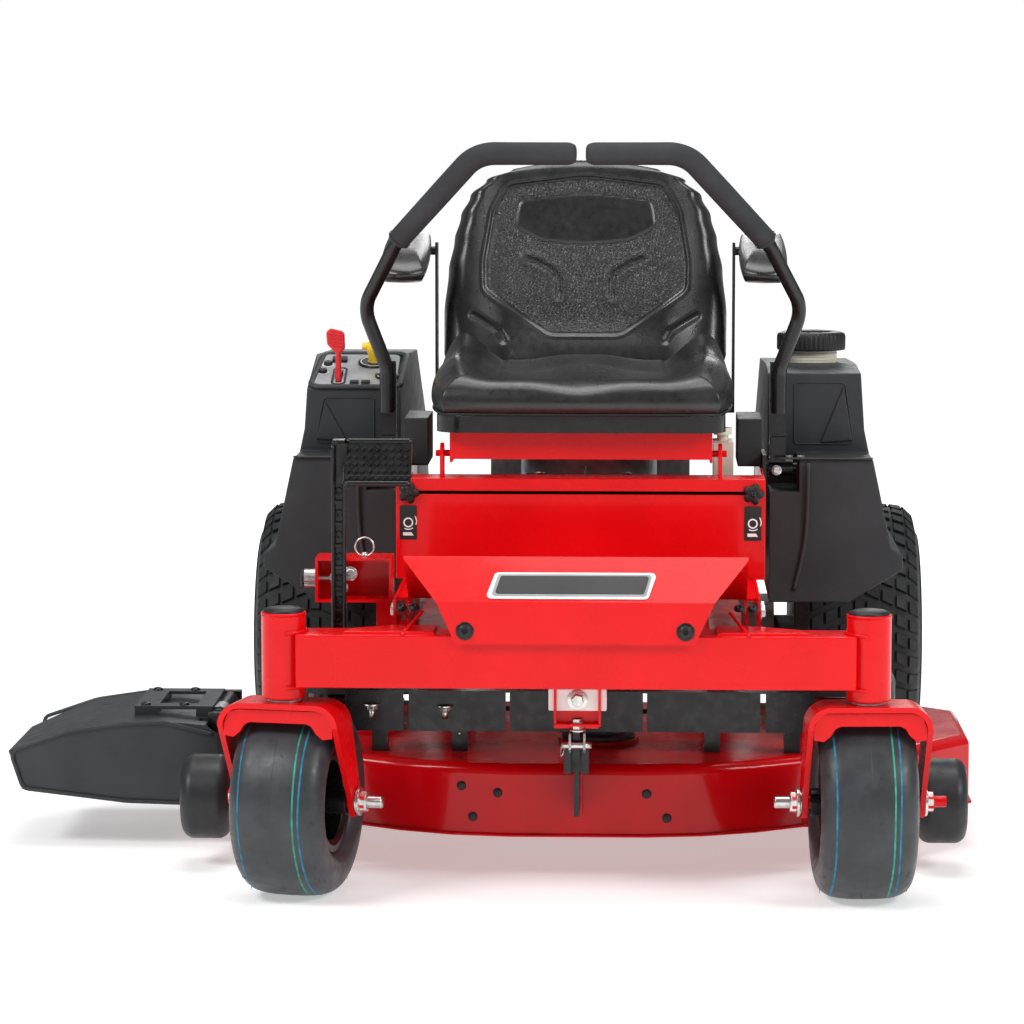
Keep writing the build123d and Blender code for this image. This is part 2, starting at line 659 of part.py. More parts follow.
def fuel_tank():
    """The tank inside the high-X fender, with its filler neck."""
    tank = fillet(block(302, 424, 612, 890, 480, 676).edges(), 20)
    tank += rod("z", (368, 800, 707), 42, 66)
    return tank - rod("z", (368, 800, 720), 37, 60)


def fuel_cap():
    """The round cap and its inner skirt."""
    cap = rod("z", (368, 800, 757), 56, 32)
    return cap - rod("z", (368, 800, 740), 43, 30)


def hydro_tank():
    """The pale oil reservoir beside the seat, with its round cap."""
    tank = block(203, 234, 420, 500, 500, 622) + rod("z", (218, 460, 626), 9, 10)
    return Compound(children=[tank.solid(), rod("z", (218, 460, 636.6), 14, 11)])


# ---------------------------------------------------------------- drive
def engine_block():
    """The crankcase, its two finned cylinders and the output bore."""
    case = rod("z", (0, 1180, 457), 118, 167)
    for side in SIDES.values():
        barrel = block(-60, 60, 60, 210, 415, 530)
        for k in range(5):
            y = 118 + 18 * k
            barrel -= block(-70, 70, y, y + 7, 410, 426) + block(-70, 70, y, y + 7, 519, 535)
        case += Pos(0, 1180, 0) * Rot(0, 0, side * 38) * barrel
    return case - rod("z", (0, 1180, 395), 14 + FIT, 70)


def engine_shroud():
    """The hollow fan shroud over the engine, and the air filter in front of it."""
    outer = fillet(block(-190, 190, 1020, 1390, 541, 690).edges().filter_by(Axis.Z), 60)
    outer = fillet(outer.faces().sort_by(Axis.Z)[-1].edges(), 30)
    inner = fillet(block(-186, 186, 1024, 1386, 530, 686).edges().filter_by(Axis.Z), 56)
    shroud = outer - fillet(inner.faces().sort_by(Axis.Z)[-1].edges(), 26)
    filter_can = rod("x", (0, 965, 610), 46, 250) + block(-30, 30, 980, 1019.7, 590, 630)
    return Compound(children=[shroud.solid(), filter_can.solid()])


def muffler():
    """The silencer across the back of the engine, with its outlet."""
    can = rod("x", (0, 1452, 470), 52, 300) + rod("z", (110, 1452, 410), 16, 60)
    can += block(-120, 120, 1404, 1452, 386, 392)
    return can + block(-120, -114, 1404, 1440, 386, 450) + block(114, 120, 1404, 1440, 386, 450)


def pto_pulley():
    """The engine's take-off drum and its shaft."""
    x, y = 0, 1180
    return rod("z", (x, y, 240), 52, 120) + rod("z", (x, y, 360), 14, 124)


def battery():
    """The battery on its tray, with two posts."""
    box = block(-95, 95, 590, 760, 371.5, 540)
    return box + rod("z", (-70, 615, 545), 8, 14) + rod("z", (70, 615, 545), 8, 14)


def rear_guard():
    """The bent tube guard on the rail ends, with the hitch plate."""
    hoop = FilletPolyline((-RAIL_X, RAIL_END_Y, 343), (-RAIL_X, 1590, 343),
                          (RAIL_X, 1590, 343), (RAIL_X, RAIL_END_Y, 343), radius=60)
    guard = sweep(Plane(origin=hoop @ 0, z_dir=hoop % 0) * Circle(16), path=hoop)
    arch = FilletPolyline((-150, 1590, 350), (-150, 1575, 600), (150, 1575, 600),
                          (150, 1590, 350), radius=50)
    guard += sweep(Plane(origin=arch @ 0, z_dir=arch % 0) * Circle(12), path=arch)
    guard += block(-50, 50, 1570, 1650, 324, 330)
    return guard - rod("z", (0, 1628, 327), 8, 20)


# ---------------------------------------------------------------- seat
def seat_cushion():
    """The seat cushion as a plain soft solid."""
    pad = block(-228, 228, 300, 672, PAN_TOP + 0.5, 732)
    return fillet(pad.edges(), 24)


def seat_back():
    """The backrest as a plain soft solid leaning back."""
    side_view = [(676, 714), (752, 714), (818, 1030), (806, 1052), (752, 1052), (728, 1000)]
    half = [(228, 716), (234, 800), (226, 900), (203, 985), (168, 1035), (110, 1052)]
    front_view = [(-x, z) for x, z in half] + half[::-1]
    return prism_x(side_view, -240, 240) & prism_y(front_view, 600, 900)


def seat_frame():
    """The black pan with its back plate and the two armrest uprights."""
    pan = fillet(block(-220, 220, 310, 705, 645.5, PAN_TOP).edges().filter_by(Axis.Z), 40)
    room = fillet(block(-217, 217, 313, 702, 649, PAN_TOP + 5).edges().filter_by(Axis.Z), 37)
    pan -= room
    pan += block(-241, 241, 690, 720, 645.5, 650)
    back = folded([(700, 645.5), (768, 648), (838, 960)], -4)
    pan += prism_x(back, -150, 150)
    for side in SIDES.values():
        inner, outer = sorted((side * 236.5, side * 241))
        pan += block(inner, outer, 690, 720, 645.5, ARMREST_Z + 14)
        pan += rod("x", (side * 256, 705, ARMREST_Z), 7, 36)
    return pan


def armrest(side):
    """One armrest pad with its pivot bore, lower at its front end."""
    y = 705
    inner, outer = sorted((side * 244, side * 306))
    pad = fillet(block(inner, outer, y - 210, y + 40, -24, 22).edges(), 16)
    pad = Pos(0, y, ARMREST_Z) * Rot(12, 0, 0) * Pos(0, -y, 0) * pad
    return pad - rod("x", (side * 250, y, ARMREST_Z), 7 + FIT, 52)


def seat_plate():
    """The red channel under the seat with its two hinge pins."""
    y, z = SEAT_HINGE
    plate = block(-200, 200, 338, 700, 641, 645) + block(-200, 200, 338, 341, 603, 645)
    for side in SIDES.values():
        inner, outer = sorted((side * 196, side * 200))
        plate += block(inner, outer, 338, 700, 598, 645)
        plate += rod("x", (side * 210, y, z), 5, 24)
    return plate


# ---------------------------------------------------------------- lap bars
def lever_bases():
    """The fixed plates beside the seat box with the stroke pins."""
    bases = []
    for side in SIDES.values():
        inner, outer = sorted((side * 280.3, side * 286))
        base = block(inner, outer, 470, 570, 500, 598)
        base += rod("x", (side * 310, LEVER_Y, 575), 8, 50)
        bases.append(base.solid())
    return Compound(children=bases)


def lever_carrier(side):
    """The block that strokes fore and aft and holds the swing pin."""
    x = side * LEVER_X
    carrier = rod("x", (side * 310, LEVER_Y, 575), 15, 38)
    carrier += block(x - 12, x + 12, LEVER_Y - 23, LEVER_Y + 23, 584, 592)
    for y in (LEVER_Y - 20.5, LEVER_Y + 20.5):
        carrier += block(x - 12, x + 12, y - 2.5, y + 2.5, 584, 624)
    carrier += rod("y", (x, LEVER_Y, SWING_Z), 5, 46)
    return carrier - rod("x", (side * 310, LEVER_Y, 575), 8 + FIT, 60)


def lever_path(side):
    """The centre line of one lap bar from its bolted foot to its inner end."""
    points = [(305, 491, 662), (305, 489, 730), (340, 468, 826), (284, 404, 931),
              (158, 330, 1067), (13, 316, 1067)]
    points = [(side * x, y, z) for x, y, z in points]
    return FilletPolyline(*points, radius=[50, 60, 120, 62])


def lap_bar(side):
    """The bent tube of one lap bar with its swing bracket."""
    path = lever_path(side)
    bar = sweep(Plane(origin=path @ 0, z_dir=path % 0) * Circle(11), path=path)
    x = side * LEVER_X
    bar += block(x - 13, x + 13, 501.5 + 1, 508, SWING_Z, 741)
    bar += block(x - 9, x + 9, 490, 503, 664, 722)
    bar += rod("y", (x, LEVER_Y, SWING_Z), 13, 35.4)
    return bar - rod("y", (x, LEVER_Y, SWING_Z), 5 + FIT, 60)


def grip(side):
    """The foam sleeve over the upper, bent end of one lap bar."""
    points = [(284, 404, 931), (158, 330, 1067), (13, 316, 1067)]
    path = FilletPolyline(*[(side * x, y, z) for x, y, z in points], radius=62)
    start = Plane(origin=path @ 0, z_dir=path % 0)
    return sweep(start * Circle(18), path=path)


# ---------------------------------------------------------------- knobs and bolts
def tracking_knob(side):
    """A seven-lobed knob on a threaded stem through the seat box panel."""
    x, y, z = side * 261, BOX_Y, 555
    knob = Cylinder(13, 12)
    for i in range(7):
        angle = 2 * math.pi * i / 7
        knob += Pos(12 * math.cos(angle), 12 * math.sin(angle), 0) * Cylinder(4.5, 12)
    stem = rod("y", (x, y + 6, z), 4, 30)
    return Pos(x, y - 7.3, z) * Rot(90, 0, 0) * knob + stem


def frame_fasteners():
    """Barrel caps, foot plate bolts and side bracket bolts."""
    parts = []
    for side in SIDES.values():
        at = (side * CASTER_X, PIVOT_Y, BARREL_TOP + 4.5)
        parts.append(rod("z", at, 30, 4))
        parts.append(rod("y", (side * 153, NOSE_FOLD[0] - 6.2, 411), 8, 4))
        for y in (96, 136):
            parts.append(hex_bolt("x", (side * 269.5, y, 404), 10, 6, side).solid())
    return Compound(children=parts)


# ---------------------------------------------------------------- assembly
def build():
    """Makes every piece in the working frame."""
    keep("front_beam", front_beam())
    keep("frame_rails", frame_rails() + lift_shaft())
    keep("foot_plate", foot_plate())
    keep("floor_pan", floor_pan())
    box = seat_box()
    for side in SIDES.values():
        box -= rod("y", (side * 261, BOX_Y, 555), 4 + FIT, 30)
    keep("seat_box", box)
    for name, side in SIDES.items():
        place = caster_turn(name)
        keep(f"caster_fork_{name}", place * caster_fork())
        keep(f"caster_rim_{name}", place * front_rim())
        keep(f"caster_tyre_{name}", place * front_tyre())
        keep(f"rear_rim_{name}", rear_rim(side))
        keep(f"rear_tyre_{name}", rear_tyre(side))
        keep(f"armrest_{name}", armrest(side))
        keep(f"lever_carrier_{name}", lever_carrier(side))
        sleeve = grip(side)
        bar = lap_bar(side)
        keep(f"lap_bar_{name}", bar - sleeve)
        keep(f"grip_{name}", sleeve)
        keep(f"tracking_knob_{name}", tracking_knob(side))
    for name, (x, y) in spindle_points().items():
        keep(f"cutter_{name}", cutter(x, y))
    keep("roller_left", deck_roller(-561))
    keep("roller_right", deck_roller(544))
    for make in (transaxles, deck_shell, spindle_housings, deck_belt, belt_covers, deck_brackets,
                 discharge_chute, lift_pedal, height_pin, fender_left, fender_right, control_panel,
                 throttle_lever, pull_knob, ignition_key, fuel_tank, fuel_cap,
                 hydro_tank, engine_block, engine_shroud, muffler, pto_pulley, battery, rear_guard,
                 seat_cushion, seat_back, seat_frame, seat_plate, lever_bases, frame_fasteners):
        keep(make.__name__, make())


def write():
    """Moves every piece to the stored frame and writes its file."""
    boxes = [shape.bounding_box() for shape in PIECES.values()]
    low_x, low_y = min(box.min.X for box in boxes), min(box.min.Y for box in boxes)
    high_x, high_y = max(box.max.X for box in boxes), max(box.max.Y for box in boxes)
    middle_x, middle_y = (low_x + high_x) / 2, (low_y + high_y) / 2
    print("origin in the working frame", round(middle_x, 3), round(middle_y, 3))
    os.makedirs("parts", exist_ok=True)
    for name, shape in PIECES.items():
        export_step(Pos(-middle_x, -middle_y, 0) * shape, f"parts/{name}.step")


build()
write()
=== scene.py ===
"""Zero turn mower: looks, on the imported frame. Metres; mm where a name says so."""

import json
import math
import random

import bmesh
import bpy
from mathutils import Matrix, Vector, noise


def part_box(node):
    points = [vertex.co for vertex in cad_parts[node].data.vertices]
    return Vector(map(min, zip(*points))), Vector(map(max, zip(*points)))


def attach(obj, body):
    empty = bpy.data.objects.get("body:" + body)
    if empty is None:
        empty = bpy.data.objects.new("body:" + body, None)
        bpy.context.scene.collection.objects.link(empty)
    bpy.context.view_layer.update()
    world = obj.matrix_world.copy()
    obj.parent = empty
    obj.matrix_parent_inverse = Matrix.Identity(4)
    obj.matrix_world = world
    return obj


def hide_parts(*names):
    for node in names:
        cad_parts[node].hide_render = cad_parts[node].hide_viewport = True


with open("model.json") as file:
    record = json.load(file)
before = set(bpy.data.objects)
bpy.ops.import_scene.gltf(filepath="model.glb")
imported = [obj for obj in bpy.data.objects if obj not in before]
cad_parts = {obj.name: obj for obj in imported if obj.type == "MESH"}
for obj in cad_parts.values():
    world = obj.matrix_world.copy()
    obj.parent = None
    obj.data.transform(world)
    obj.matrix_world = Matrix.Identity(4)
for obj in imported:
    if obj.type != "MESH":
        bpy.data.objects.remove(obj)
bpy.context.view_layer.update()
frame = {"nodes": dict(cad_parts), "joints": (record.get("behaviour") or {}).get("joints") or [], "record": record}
NODES = frame["nodes"]
JOINTS = {joint["name"]: joint for joint in frame["joints"]}
RANDOM = random.Random(7)

TRAIL = 65
pivot_left = Vector(JOINTS["caster_swivel_left"]["pos_m"])
pivot_right = Vector(JOINTS["caster_swivel_right"]["pos_m"])
MID_X = (pivot_left.x + pivot_right.x) / 2
AXLE_Y = pivot_left.y + TRAIL / 1000


def at(x, y, z):
    """A place in mm from the centre plane, the front axles and the ground, in the frame."""
    return Vector((MID_X + x / 1000, AXLE_Y + y / 1000, z / 1000))


# ------------------------------------------------------------------ materials
class Shader:
    """A small builder for one node material."""

    def __init__(self, name):
        self.material = bpy.data.materials.new(name)
        self.material.use_nodes = True
        self.tree = self.material.node_tree
        self.main = self.tree.nodes["Principled BSDF"]
        self.place = self.node("ShaderNodeTexCoord").outputs["Object"]

    def node(self, kind, **settings):
        made = self.tree.nodes.new(kind)
        for key, value in settings.items():
            setattr(made, key, value)
        return made

    def link(self, source, target):
        self.tree.links.new(source, target)

    def stretch(self, scale):
        """Object coordinates with a different scale on each axis."""
        mapping = self.node("ShaderNodeMapping")
        mapping.inputs["Scale"].default_value = scale
        self.link(self.place, mapping.inputs["Vector"])
        return mapping.outputs["Vector"]

    def noise(self, scale, detail=3.0, rough=0.5, vector=None):
        made = self.node("ShaderNodeTexNoise")
        made.inputs["Scale"].default_value = scale
        made.inputs["Detail"].default_value = detail
        made.inputs["Roughness"].default_value = rough
        self.link(vector or self.place, made.inputs["Vector"])
        return made.outputs["Fac"]

    def cells(self, scale, feature="F1", vector=None):
        made = self.node("ShaderNodeTexVoronoi", feature=feature)
        made.inputs["Scale"].default_value = scale
        self.link(vector or self.place, made.inputs["Vector"])
        return made.outputs["Distance"]

    def ramp(self, value, low, high, out_low, out_high):
        """A value from low..high carried to out_low..out_high."""
        made = self.node("ShaderNodeMapRange")
        made.inputs["From Min"].default_value = low
        made.inputs["From Max"].default_value = high
        made.inputs["To Min"].default_value = out_low
        made.inputs["To Max"].default_value = out_high
        self.link(value, made.inputs["Value"])
        return made.outputs["Result"]

    def blend(self, factor, first, second):
        """Two colours mixed by a factor."""
        made = self.node("ShaderNodeMix", data_type="RGBA")
        made.inputs["A"].default_value = (*first, 1)
        made.inputs["B"].default_value = (*second, 1)
        self.link(factor, made.inputs["Factor"])
        return made.outputs["Result"]

    def bump(self, height, strength, distance, after=None):
        made = self.node("ShaderNodeBump")
        made.inputs["Strength"].default_value = strength
        made.inputs["Distance"].default_value = distance
        self.link(height, made.inputs["Height"])
        if after is not None:
            self.link(after, made.inputs["Normal"])
        return made.outputs["Normal"]

    def set(self, **values):
        names = {"rough": "Roughness", "metal": "Metallic", "coat": "Coat Weight",
                 "coat_rough": "Coat Roughness", "specular": "Specular IOR Level",
                 "sheen": "Sheen Weight", "colour": "Base Color"}
        for key, value in values.items():
            value = (*value, 1) if key == "colour" else value
            self.main.inputs[names[key]].default_value = value

    def use(self, **sockets):
        names = {"rough": "Roughness", "colour": "Base Color", "normal": "Normal"}
        for key, socket in sockets.items():
            self.link(socket, self.main.inputs[names[key]])


def gloss_paint(name, deep, bright, rough):
    """Powder coat: soft orange peel, faint drift of colour and sheen, small dust marks."""
    s = Shader(name)
    s.set(coat=0.16, coat_rough=0.05, specular=0.16)
    s.use(colour=s.blend(s.ramp(s.noise(7, 4), 0.35, 0.65, 0, 1), deep, bright))
    smudge = s.ramp(s.noise(19, 4, 0.5), 0.3, 0.75, rough - 0.03, rough + 0.05)
    s.use(rough=smudge)
    peel = s.bump(s.noise(380, 2), 0.05, 0.0006)
    s.use(normal=s.bump(s.noise(46, 3), 0.04, 0.002, peel))
    return s.material


def satin_paint(name, colour, rough=0.42):
    """Black or grey powder coat with a fine texture and rubbed patches."""
    s = Shader(name)
    worn = tuple(min(1, c * 1.3 + 0.003) for c in colour)
    s.set(specular=0.38, coat=0.08, coat_rough=0.15)
    s.use(colour=s.blend(s.ramp(s.noise(28, 6, 0.65), 0.5, 0.72, 0, 1), colour, worn))
    s.use(rough=s.ramp(s.noise(60, 4), 0.3, 0.7, rough - 0.08, rough + 0.1))
    fine = s.bump(s.noise(900, 2), 0.12, 0.0003)
    s.use(normal=s.bump(s.noise(160, 2), 0.06, 0.0006, fine))
    return s.material


def moulded_plastic(name, colour, rough, grain=900, depth=0.25, coat=0.0):
    """Moulded plastic with a leathery tool grain."""
    s = Shader(name)
    light = tuple(c * 1.25 + 0.003 for c in colour)
    s.set(specular=0.34, coat=coat, coat_rough=0.25)
    s.use(colour=s.blend(s.ramp(s.noise(12, 5), 0.35, 0.68, 0, 1), colour, light))
    s.use(rough=s.ramp(s.noise(40, 4), 0.3, 0.7, rough - 0.06, rough + 0.07))
    cell = s.bump(s.cells(grain, "SMOOTH_F1"), depth, 0.0004)
    s.use(normal=s.bump(s.noise(grain * 0.4, 3), depth * 0.6, 0.0004, cell))
    return s.material


def rubber(name, colour, rough, grain=420, depth=0.2):
    """Tyre rubber: faint moulding bloom and fine pores."""
    s = Shader(name)
    bloom = tuple(c * 1.5 + 0.006 for c in colour)
    s.set(specular=0.4)
    s.use(colour=s.blend(s.ramp(s.noise(16, 6, 0.6), 0.4, 0.72, 0, 1), colour, bloom))
    s.use(rough=s.ramp(s.noise(70, 4), 0.3, 0.7, rough - 0.08, rough + 0.1))
    s.use(normal=s.bump(s.noise(grain, 5, 0.6), depth, 0.0005))
    return s.material


def metal(name, colour, rough, scratch=0.12, along=(60, 900, 900)):
    """Plated or bare steel with fine drawn scratches and a cloudy tone."""
    s = Shader(name)
    dark = tuple(c * 0.7 for c in colour)
    s.set(metal=1.0)
    s.use(colour=s.blend(s.ramp(s.noise(90, 5), 0.35, 0.7, 0, 1), dark, colour))
    s.use(rough=s.ramp(s.noise(1, 4, 0.6, s.stretch(along)), 0.3, 0.7, rough - 0.1, rough + 0.12))
    s.use(normal=s.bump(s.noise(1, 3, 0.6, s.stretch(along)), scratch, 0.0003))
    return s.material


def cast_metal(name, colour, rough, metallic):
    """Sand-cast metal with a pebbled skin."""
    s = Shader(name)
    s.set(metal=metallic)
    light = tuple(min(1, c * 1.35) for c in colour)
    s.use(colour=s.blend(s.ramp(s.noise(60, 5), 0.35, 0.7, 0, 1), colour, light))
    s.use(rough=s.ramp(s.noise(110, 4), 0.3, 0.7, rough - 0.08, rough + 0.1))
    s.use(normal=s.bump(s.noise(420, 4), 0.5, 0.0008))
    return s.material


def vinyl(name, pebble, depth, rough):
    """Seat vinyl: irregular hide cells with fine creases between them."""
    s = Shader(name)
    s.set(specular=0.55, coat=0.22, coat_rough=0.22)
    s.use(colour=s.blend(s.ramp(s.noise(30, 5), 0.35, 0.7, 0, 1), (0.008, 0.008, 0.009),
                         (0.016, 0.016, 0.017)))
    s.use(rough=s.ramp(s.noise(85, 4), 0.3, 0.7, rough - 0.05, rough + 0.08))
    warp = s.node("ShaderNodeVectorMath", operation="MULTIPLY_ADD")
    drift = s.node("ShaderNodeTexNoise")
    drift.inputs["Scale"].default_value = pebble * 0.6
    s.link(s.place, drift.inputs["Vector"])
    s.link(drift.outputs["Color"], warp.inputs[0])
    warp.inputs[1].default_value = (0.0022, 0.0022, 0.0022)
    s.link(s.place, warp.inputs[2])
    cell = s.ramp(s.cells(pebble, "DISTANCE_TO_EDGE", vector=warp.outputs[0]), 0, 0.35, 0, 1)
    hide = s.bump(cell, depth, 0.0009)
    s.use(normal=s.bump(s.noise(pebble * 5, 3), depth * 0.3, 0.0003, hide))
    return s.material


RED = gloss_paint("red_powder_coat", (0.66, 0.002, 0.004), (0.74, 0.003, 0.006), 0.26)
# Deep red of the deck's own coat; the hanger's web also takes it as painted shade.
DECK_RED_AND_WEB_SHADE = gloss_paint("red_deck_coat_and_web_shade", (0.50, 0.0015, 0.004), (0.58, 0.002, 0.006), 0.17)
BLACK = satin_paint("black_powder_coat", (0.006, 0.006, 0.0065), 0.3)
CHARCOAL = moulded_plastic("charcoal_plastic", (0.024, 0.026, 0.028), 0.5, 700, 0.4)
CHUTE_GREY = moulded_plastic("chute_plastic", (0.026, 0.029, 0.032), 0.4, 300, 0.15)
BLACK_PLASTIC = moulded_plastic("black_plastic", (0.011, 0.011, 0.012), 0.42, 800, 0.2)
SILVER = satin_paint("silver_panel_coat", (0.3, 0.31, 0.32), 0.36)
RED_PLASTIC = moulded_plastic("red_lever_plastic", (0.6, 0.006, 0.012), 0.3, 500, 0.05, 0.3)
YELLOW = moulded_plastic("yellow_knob_plastic", (0.82, 0.52, 0.01), 0.32, 500, 0.05, 0.3)
CREAM = moulded_plastic("natural_tank_plastic", (0.62, 0.59, 0.49), 0.4, 260, 0.12)
FOAM = moulded_plastic("grip_foam", (0.026, 0.027, 0.029), 0.75, 1100, 0.6)
FRONT_RUBBER = rubber("front_tyre_rubber", (0.030, 0.033, 0.037), 0.4, 260, 0.08)
REAR_RUBBER = rubber("rear_tyre_rubber", (0.013, 0.014, 0.015), 0.62, 420, 0.25)
ROLLER_RUBBER = rubber("roller_plastic", (0.016, 0.017, 0.019), 0.45, 300, 0.15)
ZINC = metal("zinc_plate", (0.78, 0.77, 0.74), 0.3)
STEEL = metal("bare_steel", (0.42, 0.42, 0.43), 0.42)
CAST = cast_metal("grey_casting", (0.11, 0.11, 0.115), 0.6, 0.6)
ALLOY = cast_metal("engine_alloy", (0.45, 0.45, 0.46), 0.45, 0.9)
VINYL = vinyl("seat_vinyl", 330, 0.12, 0.3)
PEBBLE = vinyl("seat_vinyl_pebbled", 210, 0.8, 0.38)
BELT = rubber("belt_rubber", (0.012, 0.012, 0.012), 0.7)

SLOT_MATERIAL = {
    "red_paint": RED, "black_paint": BLACK, "charcoal_plastic": CHARCOAL,
    "black_plastic": BLACK_PLASTIC, "silver_panel": SILVER, "red_plastic": RED_PLASTIC,
    "yellow_plastic": YELLOW, "natural_plastic": CREAM, "seat_vinyl": VINYL,
    "grip_foam": FOAM, "front_tyre_rubber": FRONT_RUBBER, "rear_tyre_rubber": REAR_RUBBER,
    "rim_paint": BLACK, "zinc_steel": ZINC, "bare_steel": STEEL, "cast_grey": CAST,
    "engine_cast": ALLOY, "belt_rubber": BELT}
SLOT_OF = {entry["node"]: entry["material_slot"] for entry in frame["record"]["subparts"]}
NODE_MATERIAL = {"deck_shell": DECK_RED_AND_WEB_SHADE, "discharge_chute": CHUTE_GREY,
                 "roller_left": ROLLER_RUBBER, "roller_right": ROLLER_RUBBER}


def soften(thing, width_mm, segments=2):
    """Rounds the hard edges of one object and smooths its shading."""
    weld = thing.modifiers.new("weld", "WELD")
    weld.merge_threshold = 0.00002
    bevel = thing.modifiers.new("edges", "BEVEL")
    bevel.width = width_mm / 1000
    bevel.segments = segments
    bevel.limit_method = "ANGLE"
    bevel.angle_limit = math.radians(32)
    bevel.harden_normals = False
    for face in thing.data.polygons:
        face.use_smooth = True
    weighted = thing.modifiers.new("normals", "WEIGHTED_NORMAL")
    weighted.keep_sharp = True


def dress_nodes():
    """Gives every CAD node its material and small rounded edges."""
    widths = {"deck_shell": 1.5, "front_beam": 3.0, "seat_box": 1.2, "frame_rails": 1.2,
              "foot_plate": 1.2, "floor_pan": 1.2, "caster_fork_left": 1.6,
              "caster_fork_right": 1.6, "fender_left": 2.5, "fender_right": 2.5}
    for name, thing in NODES.items():
        chosen = NODE_MATERIAL.get(name, SLOT_MATERIAL[SLOT_OF[name]])
        thing.data.materials.clear()
        thing.data.materials.append(chosen)
        soften(thing, widths.get(name, 0.8))


dress_nodes()


# ------------------------------------------------------------------ mesh helpers
def new_piece(name, verts, faces, material, smooth=True):
    """One mesh piece from metres in the frame."""
    mesh = bpy.data.meshes.new(name)
    mesh.from_pydata([tuple(v) for v in verts], [], faces)
    mesh.update()
    made = bpy.data.objects.new(name, mesh)
    bpy.context.scene.collection.objects.link(made)
    mesh.materials.append(material)
    for face in mesh.polygons:
        face.use_smooth = smooth
    return made


def from_bmesh(name, work, material, smooth=True):
    """One mesh piece from a bmesh, which is used up."""
    bmesh.ops.recalc_face_normals(work, faces=work.faces)
    mesh = bpy.data.meshes.new(name)
    work.to_mesh(mesh)
    work.free()
    made = bpy.data.objects.new(name, mesh)
    bpy.context.scene.collection.objects.link(made)
    mesh.materials.append(material)
    for face in mesh.polygons:
        face.use_smooth = smooth
    return made


def grid_faces(rows, columns, close_rows=False, close_columns=False):
    """Quads over a grid of rows by columns, optionally closed either way."""
    faces = []
    for i in range(rows if close_rows else rows - 1):
        for j in range(columns if close_columns else columns - 1):
            k, m = (i + 1) % rows, (j + 1) % columns
            faces.append((i * columns + j, i * columns + m, k * columns + m, k * columns + j))
    return faces


def tube(name, points, radius, material, sides=20, closed=False, cap=True):
    """A round tube through points in the frame, with radius as a number or a function of 0..1."""
    points = [Vector(p) for p in points]
    count = len(points)
    verts, faces = [], []
    up = Vector((0.13, 0.21, 0.97)).normalized()
    normal = None
    for i, point in enumerate(points):
        ahead = points[(i + 1) % count] if closed else points[min(i + 1, count - 1)]
        behind = points[i - 1] if closed else points[max(i - 1, 0)]
        along = (ahead - behind).normalized()
        start = normal if normal is not None else up
        normal = (start - along * start.dot(along)).normalized()
        cross = along.cross(normal)
        size = radius(i / max(count - 1, 1)) if callable(radius) else radius
        for k in range(sides):
            turn = 2 * math.pi * k / sides
            verts.append(point + size * (math.cos(turn) * normal + math.sin(turn) * cross))
    faces = grid_faces(count, sides, close_rows=closed, close_columns=True)
    if cap and not closed:
        faces.append(tuple(range(sides))[::-1])
        faces.append(tuple((count - 1) * sides + k for k in range(sides)))
    return new_piece(name, verts, faces, material)


def arc_path(points, radii, steps=14):
    """The points of a polyline whose inner corners are rounded by the given radii."""
    points = [Vector(p) for p in points]
    path = [points[0]]
    for before, corner, after, radius in zip(points, points[1:], points[2:], radii):
        a, b = (before - corner).normalized(), (after - corner).normalized()
        half = a.angle(b) / 2
        reach = radius / math.tan(half)
        centre = corner + (a + b).normalized() * radius / math.sin(half)
        first, last = corner + a * reach - centre, corner + b * reach - centre
        for k in range(steps + 1):
            path.append(centre + first.slerp(last, k / steps).normalized() * radius)
    return path + [points[-1]]


def rounded_plate(name, corners, thickness, material, out, bevel=0.8):
    """A flat plate from its corner points in the frame, thickened along out (metres)."""
    work = bmesh.new()
    face = work.faces.new([work.verts.new(c) for c in corners])
    made = bmesh.ops.extrude_face_region(work, geom=[face])
    moved = [v for v in made["geom"] if isinstance(v, bmesh.types.BMVert)]
    bmesh.ops.translate(work, verts=moved, vec=Vector(out).normalized() * thickness)
    plate = from_bmesh(name, work, material)
    soften(plate, bevel)
    return plate


def lathe(name, profile, centre, axis, material, steps=64, closed=False):
    """A profile of (along, radius) in mm turned about an axis through centre."""
    axis = Vector(axis).normalized()
    side = axis.orthogonal().normalized()
    other = axis.cross(side)
    verts = []
    for k in range(steps):
        turn = 2 * math.pi * k / steps
        spoke = math.cos(turn) * side + math.sin(turn) * other
        for along, radius in profile:
            verts.append(Vector(centre) + (axis * along + spoke * radius) / 1000)
    faces = grid_faces(steps, len(profile), close_rows=True, close_columns=closed)
    return new_piece(name, verts, faces, material)


def hex_head(name, centre, out, size_mm, high_mm, material):
    """A hexagon bolt head with a washer flange, facing along out."""
    out = Vector(out).normalized()
    side = out.orthogonal().normalized()
    other = out.cross(side)
    work = bmesh.new()
    rings = [(1.35, 0.0), (1.35, 0.25), (1.0, 0.35), (1.0, 0.9), (0.86, 1.0)]
    for (scale_a, low), (scale_b, high) in zip(rings, rings[1:]):
        loops = []
        for scale, level in ((scale_a, low), (scale_b, high)):
            ring = []
            for k in range(24):
                turn = 2 * math.pi * k / 24
                flat = 1.0
                if scale <= 1.0:
                    within = (turn % (math.pi / 3)) - math.pi / 6
                    flat = math.cos(math.pi / 6) / math.cos(within)
                reach = size_mm / 1000 * scale * flat
                place = Vector(centre) + out * high_mm / 1000 * level
                ring.append(work.verts.new(place + reach * (math.cos(turn) * side
                                                            + math.sin(turn) * other)))
            loops.append(ring)
        for k in range(24):
            m = (k + 1) % 24
            work.faces.new((loops[0][k], loops[0][m], loops[1][m], loops[1][k]))
        top = loops[1]
    work.faces.new(top)
    bmesh.ops.remove_doubles(work, verts=work.verts, dist=0.00001)
    head = from_bmesh(name, work, material)
    soften(head, 0.4)
    return head


